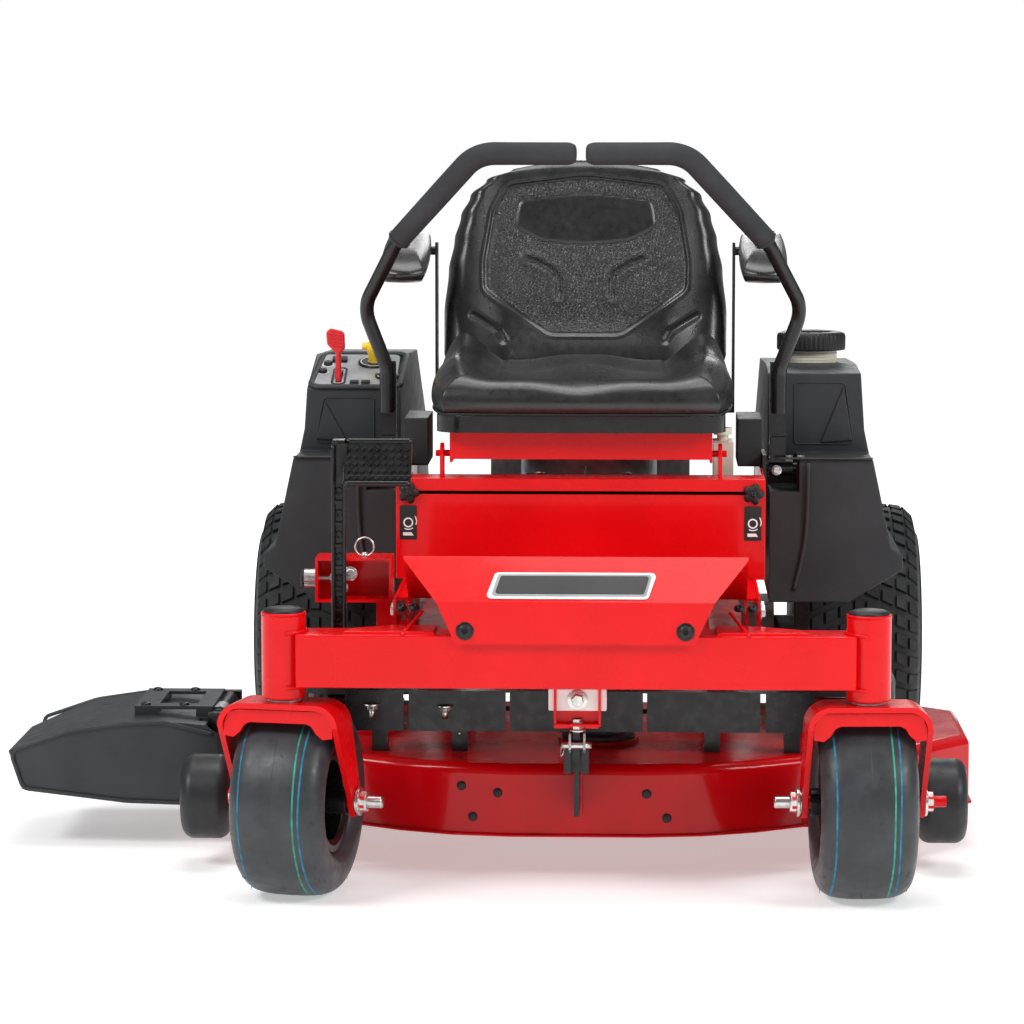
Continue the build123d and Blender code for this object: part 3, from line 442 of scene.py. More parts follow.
def button_head(name, centre, out, radius_mm, high_mm, material):
    """A domed screw head with a socket recess, facing along out."""
    r, h = radius_mm, high_mm
    profile = [(0, r), (0.25 * h, r), (0.6 * h, 0.88 * r), (0.9 * h, 0.62 * r), (h, 0.42 * r),
               (h * 0.98, 0.36 * r), (h * 0.4, 0.34 * r), (h * 0.4, 0.01)]
    return lathe(name, profile, centre, out, material, 28)


# ------------------------------------------------------------------ stage and camera
def make_stage():
    """A pale floor whose painted glow is dimmest near the machine and brightens into a white surround, and soft
    studio lights.
    """
    work = bmesh.new()
    bmesh.ops.create_grid(work, x_segments=8, y_segments=8, size=40)
    bmesh.ops.translate(work, verts=work.verts, vec=(0, 0, -0.0005))
    s = Shader("studio_floor")
    s.set(specular=0.05, colour=(0.8, 0.8, 0.8))
    s.use(rough=s.ramp(s.noise(6, 2), 0, 1, 0.75, 0.85))
    # Painted light: the floor glows, dimmest near the machine and brighter with distance, so it fades to white.
    reach = s.node("ShaderNodeVectorMath", operation="LENGTH")
    s.link(s.place, reach.inputs[0])
    painted_floor_glow = s.ramp(reach.outputs["Value"], 1.0, 3.2, 0.42, 0.9)
    s.link(painted_floor_glow, s.main.inputs["Emission Strength"])
    s.main.inputs["Emission Color"].default_value = (1, 1, 1, 1)
    floor = from_bmesh("studio_floor", work, s.material, smooth=False)
    world = bpy.data.worlds.new("studio")
    world.use_nodes = True
    tree = world.node_tree
    background = tree.nodes["Background"]
    path = tree.nodes.new("ShaderNodeLightPath")
    level = tree.nodes.new("ShaderNodeMapRange")
    level.inputs["To Min"].default_value = 0.22
    level.inputs["To Max"].default_value = 1.0
    tree.links.new(path.outputs["Is Camera Ray"], level.inputs["Value"])
    tree.links.new(level.outputs["Result"], background.inputs["Strength"])
    background.inputs["Color"].default_value = (1, 1, 1, 1)
    bpy.context.scene.world = world
    lamps = [("key_softbox", (-2.6, -2.8, 3.4), 1.8, 112),
             ("fill_softbox", (3.0, -2.6, 2.6), 1.7, 80),
             ("top_softbox", (0.2, 0.0, 4.2), 3.0, 95),
             ("rear_strip", (0.3, 4.2, 2.2), 2.2, 40)]
    for name, place, size, power in lamps:
        light = bpy.data.lights.new(name, "AREA")
        light.shape = "RECTANGLE"
        light.size, light.size_y = size, size * 0.7
        light.energy = power
        lamp = bpy.data.objects.new(name, light)
        lamp.location = place
        aim = Vector((0.1, -0.2, 0.5)) - Vector(place)
        lamp.rotation_euler = aim.to_track_quat("-Z", "Y").to_euler()
        bpy.context.scene.collection.objects.link(lamp)


def make_camera():
    """The long-lens front view, a little above the seat and right of centre."""
    data = bpy.data.cameras.new("camera")
    data.lens = 135.4
    data.sensor_width = 36
    camera = bpy.data.objects.new("camera", data)
    camera.location = at(100, -5500, 1164)
    heading = Matrix.Rotation(math.radians(2.01), 4, "Z")
    tilt = Matrix.Rotation(math.radians(90 - 6.27), 4, "X")
    camera.rotation_euler = (heading @ tilt).to_euler()
    bpy.context.scene.collection.objects.link(camera)
    bpy.context.scene.camera = camera
    bpy.context.scene.view_settings.view_transform = "Standard"
    bpy.context.scene.view_settings.look = "None"


make_stage()
make_camera()


# ------------------------------------------------------------------ curves
def smooth_line(points, steps=6):
    """A Catmull-Rom line through the points, with steps spans between each two."""
    points = [Vector(p) for p in points]
    line = []
    for i in range(len(points) - 1):
        before = points[max(i - 1, 0)]
        a, b = points[i], points[i + 1]
        after = points[min(i + 2, len(points) - 1)]
        for k in range(steps):
            t = k / steps
            square = (2 * before - 5 * a + 4 * b - after) * t ** 2
            cube = (3 * a - before - 3 * b + after) * t ** 3
            line.append(0.5 * (2 * a + (b - before) * t + square + cube))
    return line + [points[-1]]


def smooth_value(stops, t):
    """A value eased between (place, value) stops."""
    if t <= stops[0][0]:
        return stops[0][1]
    for (low, first), (high, second) in zip(stops, stops[1:]):
        if t <= high:
            part = (t - low) / (high - low)
            return first + (second - first) * part * part * (3 - 2 * part)
    return stops[-1][1]


def bump_at(distance, width):
    """A soft hill of height 1 that fades out at the width."""
    part = min(abs(distance) / width, 1)
    return (1 - part * part) ** 2


def outline_distance(x, y, outline):
    """Signed distance in mm to a closed outline, negative inside."""
    best, inside = 1e9, False
    count = len(outline)
    for i in range(count):
        ax, ay = outline[i]
        bx, by = outline[(i + 1) % count]
        dx, dy = bx - ax, by - ay
        part = ((x - ax) * dx + (y - ay) * dy) / (dx * dx + dy * dy)
        part = min(max(part, 0), 1)
        best = min(best, math.hypot(x - ax - part * dx, y - ay - part * dy))
        if (ay > y) != (by > y) and x < ax + (y - ay) / (by - ay) * (bx - ax):
            inside = not inside
    return -best if inside else best


def line_distance(x, y, line):
    """Distance in mm to an open polyline."""
    best = 1e9
    for (ax, ay), (bx, by) in zip(line, line[1:]):
        dx, dy = bx - ax, by - ay
        part = min(max(((x - ax) * dx + (y - ay) * dy) / (dx * dx + dy * dy), 0), 1)
        best = min(best, math.hypot(x - ax - part * dx, y - ay - part * dy))
    return best


def rounded_outline(corners, radii, steps=6):
    """A closed 2D outline with its corners rounded."""
    count = len(corners)
    outline = []
    for i in range(count):
        before, corner, after = (Vector((*corners[i - 1], 0)), Vector((*corners[i], 0)),
                                 Vector((*corners[(i + 1) % count], 0)))
        arc = arc_path([before, corner, after], [radii[i]], steps)[1:-1]
        outline += [(p.x, p.y) for p in arc]
    return outline


# ------------------------------------------------------------------ tyres
FRONT_SECTION = [(-54, 76.5), (-60, 80), (-66.5, 90), (-69.6, 102), (-68.5, 114), (-64, 124.5),
                 (-55, 132.5), (-42, 137.3), (-22, 139.6), (0, 140)]
REAR_SECTION = [(-92, 102.5), (-100, 108), (-106, 124), (-108, 146), (-107, 168), (-103, 188),
                (-96, 204), (-84, 213), (-60, 217.5), (0, 219)]


def section_loop(half, steps=4):
    """A closed tyre section from its low-side half, turned in at the beads."""
    line = [(p.x, p.y) for p in smooth_line([(a, r, 0) for a, r in half], steps)]
    whole = line + [(-a, r) for a, r in line[-2::-1]]
    a, r = half[0]
    return whole + [(-a - 4, r + 3), (a + 4, r + 3)]


def surface_radius(half, along):
    """The tyre's radius at one place across its tread."""
    line = smooth_line([(a, r, 0) for a, r in half], 6)
    place = -abs(along)
    for first, second in zip(line, line[1:]):
        if first.x <= place <= second.x and first.y > 100:
            part = (place - first.x) / max(second.x - first.x, 1e-9)
            return first.y + (second.y - first.y) * part
    return line[-1].y


def wheel_axes(joint_name):
    """The centre and the unit axis of a wheel, from its joint."""
    joint = JOINTS[joint_name]
    return Vector(joint["pos_m"]), Vector(joint["axis"]).normalized()


def painted_ring(name, centre, axis, along, radius, width, material):
    """A thin painted line round a tyre, wandering a little as a brush line does."""
    steps = 120
    side = axis.orthogonal().normalized()
    other = axis.cross(side)
    verts = []
    for k in range(steps):
        turn = 2 * math.pi * k / steps
        spoke = math.cos(turn) * side + math.sin(turn) * other
        drift = 0.5 * math.sin(3 * turn + along) + 0.3 * math.sin(7 * turn)
        for edge in (-0.5, 0.5):
            place = along + drift + edge * width
            verts.append(centre + (axis * place + spoke * (radius(place) + 0.22)) / 1000)
    return new_piece(name, verts, grid_faces(steps, 2, close_rows=True), material)


def paint(name, colour):
    """Faded marking paint with breaks in its sheen."""
    s = Shader(name)
    s.set(specular=0.3)
    faded = tuple(c * 0.55 for c in colour)
    s.use(colour=s.blend(s.ramp(s.noise(60, 5), 0.4, 0.65, 0, 1), colour, faded))
    s.use(rough=s.ramp(s.noise(120, 3), 0.3, 0.7, 0.5, 0.75))
    s.use(normal=s.bump(s.noise(500, 3), 0.2, 0.0002))
    return s.material


STRIPE_BLUE = paint("stripe_blue", (0.02, 0.22, 0.36))
STRIPE_GREEN = paint("stripe_green", (0.04, 0.36, 0.26))


def front_wheel(side):
    """A smooth caster tyre with its mould line, painted lines and moulding whiskers."""
    centre, axis = wheel_axes(f"caster_wheel_{side}_roll")
    body = f"caster_wheel_{side}"
    tyre = lathe(f"caster_tyre_skin_{side}", section_loop(FRONT_SECTION), centre, axis,
                 FRONT_RUBBER, 128, closed=True)
    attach(tyre, body)
    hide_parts(f"caster_tyre_{side}")

    def radius(along):
        return surface_radius(FRONT_SECTION, along)

    lines = [(-50, STRIPE_BLUE), (32, STRIPE_GREEN), (41, STRIPE_BLUE)]
    for i, (along, colour) in enumerate(lines):
        ring = painted_ring(f"tyre_line_{side}_{i}", centre, axis, along, radius, 2.6, colour)
        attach(ring, body)
    seam = [(-0.7, 139.8), (-0.25, 140.25), (0.25, 140.25), (0.7, 139.8)]
    mould = lathe(f"tyre_mould_line_{side}", seam, centre, axis, FRONT_RUBBER, 128)
    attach(mould, body)
    grow_whiskers(side, centre, axis, body, radius)


def grow_whiskers(side, centre, axis, body, radius):
    """Short rubber hairs that the mould's vents leave on a new tyre."""
    across = axis.orthogonal().normalized()
    other = axis.cross(across)
    verts, faces = [], []
    for _ in range(46):
        along = RANDOM.choice((-62, -55, -8, 12, 55, 61)) + RANDOM.uniform(-2, 2)
        turn = RANDOM.uniform(0, 2 * math.pi)
        spoke = math.cos(turn) * across + math.sin(turn) * other
        lean = axis * RANDOM.uniform(-0.6, 0.6) + spoke + across * RANDOM.uniform(-0.4, 0.4)
        lean = lean.normalized()
        root = centre + (axis * along + spoke * (radius(along) - 0.3)) / 1000
        if root.z < 0.012:
            continue
        tip = root + lean * RANDOM.uniform(0.003, 0.0065)
        start = len(verts)
        flat = lean.orthogonal().normalized()
        third = lean.cross(flat)
        for place, size in ((root, 0.00055), (tip, 0.0003)):
            for q in range(5):
                angle = 2 * math.pi * q / 5
                verts.append(place + size * (math.cos(angle) * flat + math.sin(angle) * third))
        faces += [(start + q, start + (q + 1) % 5, start + 5 + (q + 1) % 5, start + 5 + q)
                  for q in range(5)]
        faces.append(tuple(start + 5 + q for q in range(5)))
    hairs = new_piece(f"tyre_whiskers_{side}", verts, faces, FRONT_RUBBER)
    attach(hairs, body)


def rear_wheel(side):
    """A turf drive tyre: carcass, swept chevron blocks and rings on the sidewalls."""
    centre, axis = wheel_axes(f"rear_wheel_{side}_roll")
    body = f"rear_wheel_{side}"
    loop = section_loop(REAR_SECTION)
    tyre = lathe(f"rear_tyre_skin_{side}", loop, centre, axis, REAR_RUBBER, 144, closed=True)
    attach(tyre, body)
    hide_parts(f"rear_tyre_{side}")
    across = axis.orthogonal().normalized()
    other = axis.cross(across)
    verts, faces = [], []
    rows = [(-100, -84), (-80, -62), (-57, -38), (-33, -12), (-8, 8), (12, 33), (38, 57),
            (62, 80), (84, 100)]
    pitch = 44
    for k in range(pitch):
        for low, high in rows:
            sweep_low, sweep_high = abs(low) * 0.0019, abs(high) * 0.0019
            start = len(verts)
            for level, inset in ((-1.5, 0), (5.0, 0), (6.0, 0.9)):
                for along, sweep in ((low, sweep_low), (high, sweep_high)):
                    place = along + (inset if along == low else -inset)
                    for edge in (-1, 1):
                        turn = 2 * math.pi * k / pitch + sweep + edge * (0.043 - inset * 0.004)
                        spoke = math.cos(turn) * across + math.sin(turn) * other
                        reach = min(surface_radius(REAR_SECTION, place) + level, 225)
                        verts.append(centre + (axis * place + spoke * reach) / 1000)
            for layer in (0, 4):
                a = start + layer
                faces += [(a, a + 1, a + 5, a + 4), (a + 1, a + 3, a + 7, a + 5),
                          (a + 3, a + 2, a + 6, a + 7), (a + 2, a, a + 4, a + 6)]
            faces.append((start + 8, start + 9, start + 11, start + 10))
    tread = new_piece(f"rear_tread_{side}", verts, faces, REAR_RUBBER, smooth=False)
    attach(tread, body)
    for i, (along, radius) in enumerate(((101.5, 126), (104.5, 140), (105.5, 172))):
        for end in (-1, 1):
            rib = [(end * (along + 1.0), radius - 2), (end * (along + 3.0), radius - 0.8),
                   (end * (along + 3.0), radius + 0.8), (end * (along + 1.0), radius + 2)]
            ring = lathe(f"sidewall_ring_{side}_{i}_{'in' if end < 0 else 'out'}", rib, centre,
                         axis, REAR_RUBBER, 96)
            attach(ring, body)


for wheel_side in ("left", "right"):
    front_wheel(wheel_side)
    rear_wheel(wheel_side)


# ------------------------------------------------------------------ seat
def pad_mesh(name, columns, rows, plan, front, back, to_frame, material):
    """A closed pad: front and back skins over one plan, meeting at a rounded rim."""
    def spread(k, count):
        return math.sin(math.pi * (k / (count - 1) - 0.5))

    def roll(u, v, width):
        inside = min(1 - abs(u), 1 - abs(v)) / width
        part = min(max(inside, 0), 1)
        return math.sqrt(max(1 - (1 - part) ** 2, 0))

    verts = []
    for skin in (front, back):
        for i in range(rows):
            for j in range(columns):
                u, v = spread(j, columns), spread(i, rows)
                x, y = plan(u, v)
                verts.append(to_frame(x, y, skin(x, y, u, v, roll)))
    faces = grid_faces(rows, columns)
    base = rows * columns
    faces += [tuple(base + k for k in face[::-1]) for face in grid_faces(rows, columns)]
    work = bmesh.new()
    made = [work.verts.new(v) for v in verts]
    for face in faces:
        work.faces.new([made[k] for k in face])
    bmesh.ops.remove_doubles(work, verts=work.verts, dist=0.00002)
    return from_bmesh(name, work, material)


BACK_LEAN = math.radians(11.7)
BACK_FOOT = (716, 722)
PANEL_CORNERS = [(-126, 285), (0, 301), (126, 285), (147, 247), (161, 162), (160, 118),
                 (56, 45), (-56, 45), (-160, 118), (-161, 162), (-147, 247)]
PANEL_LINE = rounded_outline(PANEL_CORNERS, [26, 200, 26, 60, 60, 14, 30, 30, 14, 60, 60], 5)
BADGE_CORNERS = [(-107, 264), (0, 276), (107, 264), (116, 220), (70, 197), (0, 191),
                 (-70, 197), (-116, 220)]
BADGE_LINE = rounded_outline(BADGE_CORNERS, [12, 200, 12, 18, 60, 200, 60, 18], 4)


def back_half_width(height):
    """The backrest's half width in mm at a height along its lean."""
    return smooth_value([(-26, 214), (20, 228), (80, 228.5), (150, 222), (200, 213), (240, 203),
                         (275, 188), (305, 162), (324, 124), (334, 92)], height)


def back_relief(x, z):
    """How far the backrest's front stands out, in mm, with its moulded detail."""
    side = abs(x)
    level = 24 + 15 * smooth_value([(120, 0), (196, 1)], side)
    level += 20 * smooth_value([(0, 1), (75, 0)], z) * smooth_value([(60, 1), (210, 0.4)], side)
    level += 5 * smooth_value([(200, 0), (330, 1)], z)
    edge = outline_distance(x, z, PANEL_LINE)
    level -= 2.2 * smooth_value([(-6, 1), (0, 0)], edge)
    level -= 2.6 * bump_at(edge, 3.4)
    level += 1.5 * bump_at(edge - 5.5, 3.6)
    badge = outline_distance(x, z, BADGE_LINE)
    level += 1.4 * smooth_value([(-5, 1), (0, 0)], badge) - 1.4 * bump_at(badge - 1, 2.6)
    crease = [(92, 168), (72, 160), (56, 151), (46, 143), (43, 132), (43, 106)]
    mark = line_distance(side, z, crease)
    level -= 4.2 * bump_at(mark, 7) - 2.2 * bump_at(mark - 9, 8)
    lower = [(180, 74), (140, 50), (131, 34)]
    level -= 4.5 * bump_at(line_distance(side, z, lower), 9)
    return level


def make_backrest():
    """The moulded backrest: bolsters, piped pebble panel, smooth headrest field, creases."""
    def plan(u, v):
        height = 154 + v * 180
        return u * back_half_width(height), height - 14 * (v > 0) * v ** 4 * abs(u) ** 2.5

    def front(x, z, u, v, roll):
        return back_relief(x, z) * roll(u, v, 0.14)

    def back(x, z, u, v, roll):
        return -(30 - 0.00025 * x * x) * roll(u, v, 0.1)

    def to_frame(x, z, depth):
        y = BACK_FOOT[0] + z * math.sin(BACK_LEAN) - depth * math.cos(BACK_LEAN)
        up = BACK_FOOT[1] + z * math.cos(BACK_LEAN) + depth * math.sin(BACK_LEAN)
        return at(x, y, up)

    pad = pad_mesh("backrest_pad", 190, 170, plan, front, back, to_frame, VINYL)
    pad.data.materials.append(PEBBLE)
    for face in pad.data.polygons:
        centre = (face.center - at(0, BACK_FOOT[0], BACK_FOOT[1])) * 1000
        z = centre.y * math.sin(BACK_LEAN) + centre.z * math.cos(BACK_LEAN)
        depth = -centre.y * math.cos(BACK_LEAN) + centre.z * math.sin(BACK_LEAN)
        in_panel = outline_distance(centre.x, z, PANEL_LINE) < -3
        if depth > 0 and in_panel and outline_distance(centre.x, z, BADGE_LINE) > 1:
            face.material_index = 1
    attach(pad, "seat")
    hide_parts("seat_back")


def cushion_height(x, y):
    """The cushion's top above its rim plane, in mm: thigh hollows, horn, side bolsters."""
    side = abs(x)
    back_rise = smooth_value([(310, 0.15), (440, 1), (560, 1), (670, 1.3)], y)
    level = 34 + 32 * smooth_value([(125, 0), (196, 1)], side) * back_rise
    level += 22 * smooth_value([(560, 0), (660, 1)], y)
    level -= 8 * bump_at(side - 105, 80) * smooth_value([(330, 0), (420, 1)], y)
    level += 9 * bump_at(side, 70) * bump_at(y - 470, 170)
    level -= 7 * bump_at(side, 80) * smooth_value([(300, 1), (380, 0)], y)
    level += 3 * math.sin(math.pi * min(side / 190, 1)) * smooth_value([(310, 1), (370, 0)], y)
    line = line_distance(side, y, [(150, 470), (128, 640)])
    return level - 2.5 * bump_at(line, 8)


def make_cushion():
    """The seat cushion: rolled front, horn, bolsters and a welt over the pan."""
    def plan(u, v):
        x = u * 235 * math.sqrt(1 - 0.14 * v * v * (v < 0) - 0.06 * v * v)
        y = 486 + v * 185 * math.sqrt(1 - 0.12 * u * u)
        return x, y

    def top(x, y, u, v, roll):
        return cushion_height(x, y) * roll(u, v, 0.24)

    def bottom(x, y, u, v, roll):
        return -19 * min(1, roll(u, v, 0.05))

    def to_frame(x, y, height):
        return at(x, y, 691 + height)

    pad = pad_mesh("cushion_pad", 150, 130, plan, top, bottom, to_frame, VINYL)
    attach(pad, "seat")
    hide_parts("seat_cushion")
    rim = []
    for k in range(96):
        turn = 2 * math.pi * k / 96
        u, v = math.cos(turn), math.sin(turn)
        grow = 1 / max(abs(u), abs(v))
        x, y = plan(u * grow * 0.985, v * grow * 0.985)
        rim.append(at(x, y, 673.5))
    welt = tube("cushion_welt", rim, 0.0022, BLACK_PLASTIC, 10, closed=True)
    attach(welt, "seat")


def make_armrest(side):
    """One armrest: a fat moulded pad tilted down to the front."""
    sign = 1 if side == "right" else -1
    pivot = Vector(JOINTS[f"armrest_{side}_flip"]["pos_m"])
    centre_x = pivot.x + sign * 0.027

    def plan(u, v):
        return u * 38 * math.sqrt(1 - 0.22 * v * v), -85 + v * 123 * math.sqrt(1 - 0.2 * u * u)

    def top(x, y, u, v, roll):
        return 12 + 24 * roll(u, v, 0.75)

    def bottom(x, y, u, v, roll):
        return 12 - 27 * roll(u, v, 0.6) * smooth_value([(-205, 0.8), (-120, 1)], y)

    tilt = Matrix.Rotation(math.radians(12), 4, "X")

    def to_frame(x, y, height):
        return Vector((centre_x, pivot.y, pivot.z)) + tilt @ Vector((x, y, height)) / 1000

    pad = pad_mesh(f"armrest_pad_{side}", 36, 60, plan, top, bottom, to_frame, VINYL)
    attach(pad, f"armrest_{side}")
    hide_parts(f"armrest_{side}")


make_backrest()
make_cushion()
for arm_side in ("left", "right"):
    make_armrest(arm_side)


# ------------------------------------------------------------------ bars and grips
SIGN = {"left": -1, "right": 1}
BAR_POINTS = [(305, 491, 662), (305, 489, 730), (340, 468, 826), (284, 404, 931),
              (158, 330, 1067), (13, 316, 1067)]
BAR_RADII = [50, 60, 120, 62]


def ride(piece, body):
    """Lets a piece ride on a body."""
    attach(piece, body)
    return piece


def resample(path, count):
    """The same path with evenly spaced points."""
    lengths = [0]
    for first, second in zip(path, path[1:]):
        lengths.append(lengths[-1] + (second - first).length)
    spaced, i = [], 0
    for k in range(count):
        goal = lengths[-1] * k / (count - 1)
        while i < len(path) - 2 and lengths[i + 1] < goal:
            i += 1
        part = (goal - lengths[i]) / max(lengths[i + 1] - lengths[i], 1e-9)
        spaced.append(path[i].lerp(path[i + 1], min(max(part, 0), 1)))
    return spaced


def bar_path(side):
    """The centre line of one lap bar in the frame."""
    return arc_path([at(SIGN[side] * x, y, z) for x, y, z in BAR_POINTS],
                    [r / 1000 for r in BAR_RADII])


def foam_grip(side):
    """The foam sleeve on the bent top of one lap bar, rounded where it ends."""
    path = resample(bar_path(side), 400)
    start = min(range(400), key=lambda k: (path[k] - at(SIGN[side] * 284, 404, 931)).length)
    path = path[start:]
    path.append(path[-1] + (path[-1] - path[-2]).normalized() * 0.0055)
    path = resample(path, 260)

    def radius(t):
        rise = min(t / 0.012, 1)
        fall = min((1 - t) / 0.045, 1)
        swell = 0.6 * math.sin(math.pi * min(t * 1.4, 1))
        return (12 + 5.2 * math.sqrt(max(1 - (1 - rise) ** 2, 0))
                - 7.5 * (1 - math.sqrt(max(1 - (1 - fall) ** 2, 0))) + swell) / 1000

    grip = tube(f"foam_grip_{side}", path, radius, FOAM, 40)
    ride(grip, f"lap_bar_{side}")
    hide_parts(f"grip_{side}")
    band = [(0, 18.3), (1.6, 18.9), (3.2, 18.3)]
    collar = lathe(f"grip_collar_{side}", band, path[3], path[5] - path[3], FOAM, 40)
    ride(collar, f"lap_bar_{side}")


for bar_side in SIGN:
    foam_grip(bar_side)


# ------------------------------------------------------------------ console details
PANEL_TILT = math.atan2(45, 150)


def on_panel(x, u, lift=0.0):
    """A place on the sloped left panel: across, up the slope, and off it, in mm."""
    y = 600 + u * math.cos(PANEL_TILT) - lift * math.sin(PANEL_TILT)
    z = 690 + u * math.sin(PANEL_TILT) + lift * math.cos(PANEL_TILT)
    return at(x, y, z)


PANEL_OUT = Vector((0, -math.sin(PANEL_TILT), math.cos(PANEL_TILT)))


def ribbon(name, path, width, height, out, material, closed=False):
    """A rounded flat moulding that follows a path, standing out along one direction."""
    out = Vector(out).normalized()
    verts = []
    count = len(path)
    shape = [(-0.5, 0), (-0.5, 0.55), (-0.32, 0.9), (0, 1), (0.32, 0.9), (0.5, 0.55), (0.5, 0)]
    for i, point in enumerate(path):
        ahead = path[(i + 1) % count] if closed else path[min(i + 1, count - 1)]
        behind = path[i - 1] if closed else path[max(i - 1, 0)]
        across = (ahead - behind).normalized().cross(out).normalized()
        for a, b in shape:
            verts.append(point + across * a * width / 1000 + out * b * height / 1000)
    faces = grid_faces(count, len(shape), close_rows=closed, close_columns=True)
    if not closed:
        faces.append(tuple(range(len(shape)))[::-1])
        faces.append(tuple((count - 1) * len(shape) + k for k in range(len(shape))))
    return new_piece(name, verts, faces, material)


def plane_loop(corners, radii, place, steps=6):
    """A rounded closed outline carried into the frame by a function of its two numbers."""
    return [place(x, y) for x, y in rounded_outline(corners, radii, steps)]


def knob(name, place, out, radius, high, material, ridges=0):
    """A turned knob with a crowned top and optional grip ridges."""
    r, h = radius, high
    profile = [(0, 0.9 * r), (0.1 * h, r), (0.75 * h, r), (0.93 * h, 0.92 * r), (h, 0.78 * r),
               (0.97 * h, 0.4 * r), (0.96 * h, 0.01)]
    made = lathe(name, profile, place, out, material, 96 if ridges else 48)
    if ridges:
        axis = Vector(out).normalized()
        for vert in made.data.vertices:
            arm = vert.co - Vector(place)
            along = arm.dot(axis)
            spoke = arm - axis * along
            if spoke.length > 0.85 * r / 1000:
                across = axis.orthogonal().normalized()
                turn = math.atan2(spoke.dot(axis.cross(across)), spoke.dot(across))
                scale = 1 - 0.05 * (0.5 + 0.5 * math.cos(ridges * turn))
                vert.co = Vector(place) + axis * along + spoke * scale
    return made


def printed_ring(name, place, out, radius, width, material, start=0.0, sweep=2 * math.pi):
    """A thin printed ring or arc lying on a surface."""
    out = Vector(out).normalized()
    side = out.orthogonal().normalized()
    other = out.cross(side)
    steps = 40
    whole = sweep > 6.28
    verts = []
    for k in range(steps):
        turn = start + sweep * k / (steps if whole else steps - 1)
        spoke = math.cos(turn) * side + math.sin(turn) * other
        for reach in (radius - width / 2, radius + width / 2):
            verts.append(Vector(place) + (spoke * reach + out * 0.35) / 1000)
    return new_piece(name, verts, grid_faces(steps, 2, close_rows=whole), material)


WHITE_INK = moulded_plastic("white_print", (0.75, 0.75, 0.74), 0.45, 300, 0.03)
LABEL_BLACK = moulded_plastic("label_black", (0.008, 0.008, 0.009), 0.35, 200, 0.03, 0.2)
LABEL_GREY = moulded_plastic("label_grey", (0.30, 0.31, 0.32), 0.5, 200, 0.05)
SLIDER_WHITE = moulded_plastic("slider_plastic", (0.72, 0.72, 0.70), 0.4, 160, 0.06)


def left_console():
    """The control panel's raised rim, dials, buttons and slot."""
    corners = [(-436, 2), (-294, 2), (-290, 152), (-424, 152)]
    loop = plane_loop(corners, [16, 14, 14, 20], lambda x, u: on_panel(x, u, 0))
    ride(ribbon("panel_rim", loop, 11, 6, PANEL_OUT, CHARCOAL, closed=True), "chassis")
    throttle_slot = [(-402, 8), (-382, 8), (-382, 80), (-402, 80)]
    loop = plane_loop(throttle_slot, [8] * 4, lambda x, u: on_panel(x, u, 4.2))
    ride(ribbon("throttle_slot_rim", loop, 3.4, 1.6, PANEL_OUT, BLACK_PLASTIC, closed=True),
         "chassis")
    dial = on_panel(-340, 104, 4.3)
    ride(knob("knob_dial", dial, PANEL_OUT, 26, 3, LABEL_BLACK), "chassis")
    ride(printed_ring("knob_dial_ring", on_panel(-340, 104, 7.3), PANEL_OUT, 21.5, 1.6,
                      WHITE_INK), "chassis")
    dial = on_panel(-316, 44, 4.3)
    ride(knob("key_dial", dial, PANEL_OUT, 19, 3, LABEL_BLACK), "chassis")
    for i, turn in enumerate((0.3, 1.5, 2.7)):
        ride(printed_ring(f"key_dial_mark_{i}", on_panel(-316, 44, 7.3), PANEL_OUT, 15.5, 1.2,
                          WHITE_INK, turn, 0.6), "chassis")
    for i, (x, u) in enumerate(((-420, 62), (-414, 96))):
        ride(knob(f"panel_button_{i}", on_panel(x, u, 4), PANEL_OUT, 7, 6, BLACK_PLASTIC),
             "chassis")
        ride(printed_ring(f"panel_button_ring_{i}", on_panel(x, u, 4), PANEL_OUT, 9, 1.4,
                          WHITE_INK), "chassis")
    rocker = [on_panel(x, u, 4.2) for x, u in ((-408, 104), (-384, 104), (-384, 122), (-408, 122))]
    ride(rounded_plate("rocker_switch", rocker, 0.006, BLACK_PLASTIC, PANEL_OUT, 1.5), "chassis")
    for i, x in enumerate((-366, -348)):
        toggle = [on_panel(x + dx, 14 + du, 4.2) for dx, du in ((-7, -5), (7, -5), (7, 5), (-7, 5))]
        ride(rounded_plate(f"panel_toggle_{i}", toggle, 0.004, BLACK_PLASTIC, PANEL_OUT, 1.0),
             "chassis")


def yellow_knob():
    """The blade engagement knob: a mushroom with a finger rim on a flared stem."""
    place = on_panel(-340, 104, 6)
    axis = PANEL_OUT
    profile = [(0, 9), (6, 9), (12, 9.5), (18, 11.5), (24, 12.5), (30, 12), (34, 8), (35, 0.01)]
    made = lathe("blade_knob_cap", profile, place, axis, YELLOW, 60)
    ride(made, "blade_knob")
    wing = [place + axis * 0.027 + Vector((0.001 * k, 0, 0)) for k in range(-19, 20)]
    shape = [0.004 + 0.0032 * math.cos(k * math.pi / 46) for k in range(-19, 20)]
    ride(tube("blade_knob_wing", wing, lambda t: shape[min(38, int(t * 38.99))], YELLOW, 20),
         "blade_knob")
    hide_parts("pull_knob")


def key_bow():
    """Grip ribs on the key's plastic bow."""
    low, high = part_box("ignition_key")
    middle = (Vector(low) + Vector(high)) / 2
    for i, dx in enumerate((-0.0025, 0.0, 0.0025)):
        rib = [middle + Vector((dx, 0, 0)) + PANEL_OUT * (0.004 + 0.001 * k) for k in range(10)]
        ride(tube(f"key_rib_{i}", rib, 0.0009, BLACK_PLASTIC, 8), "key")


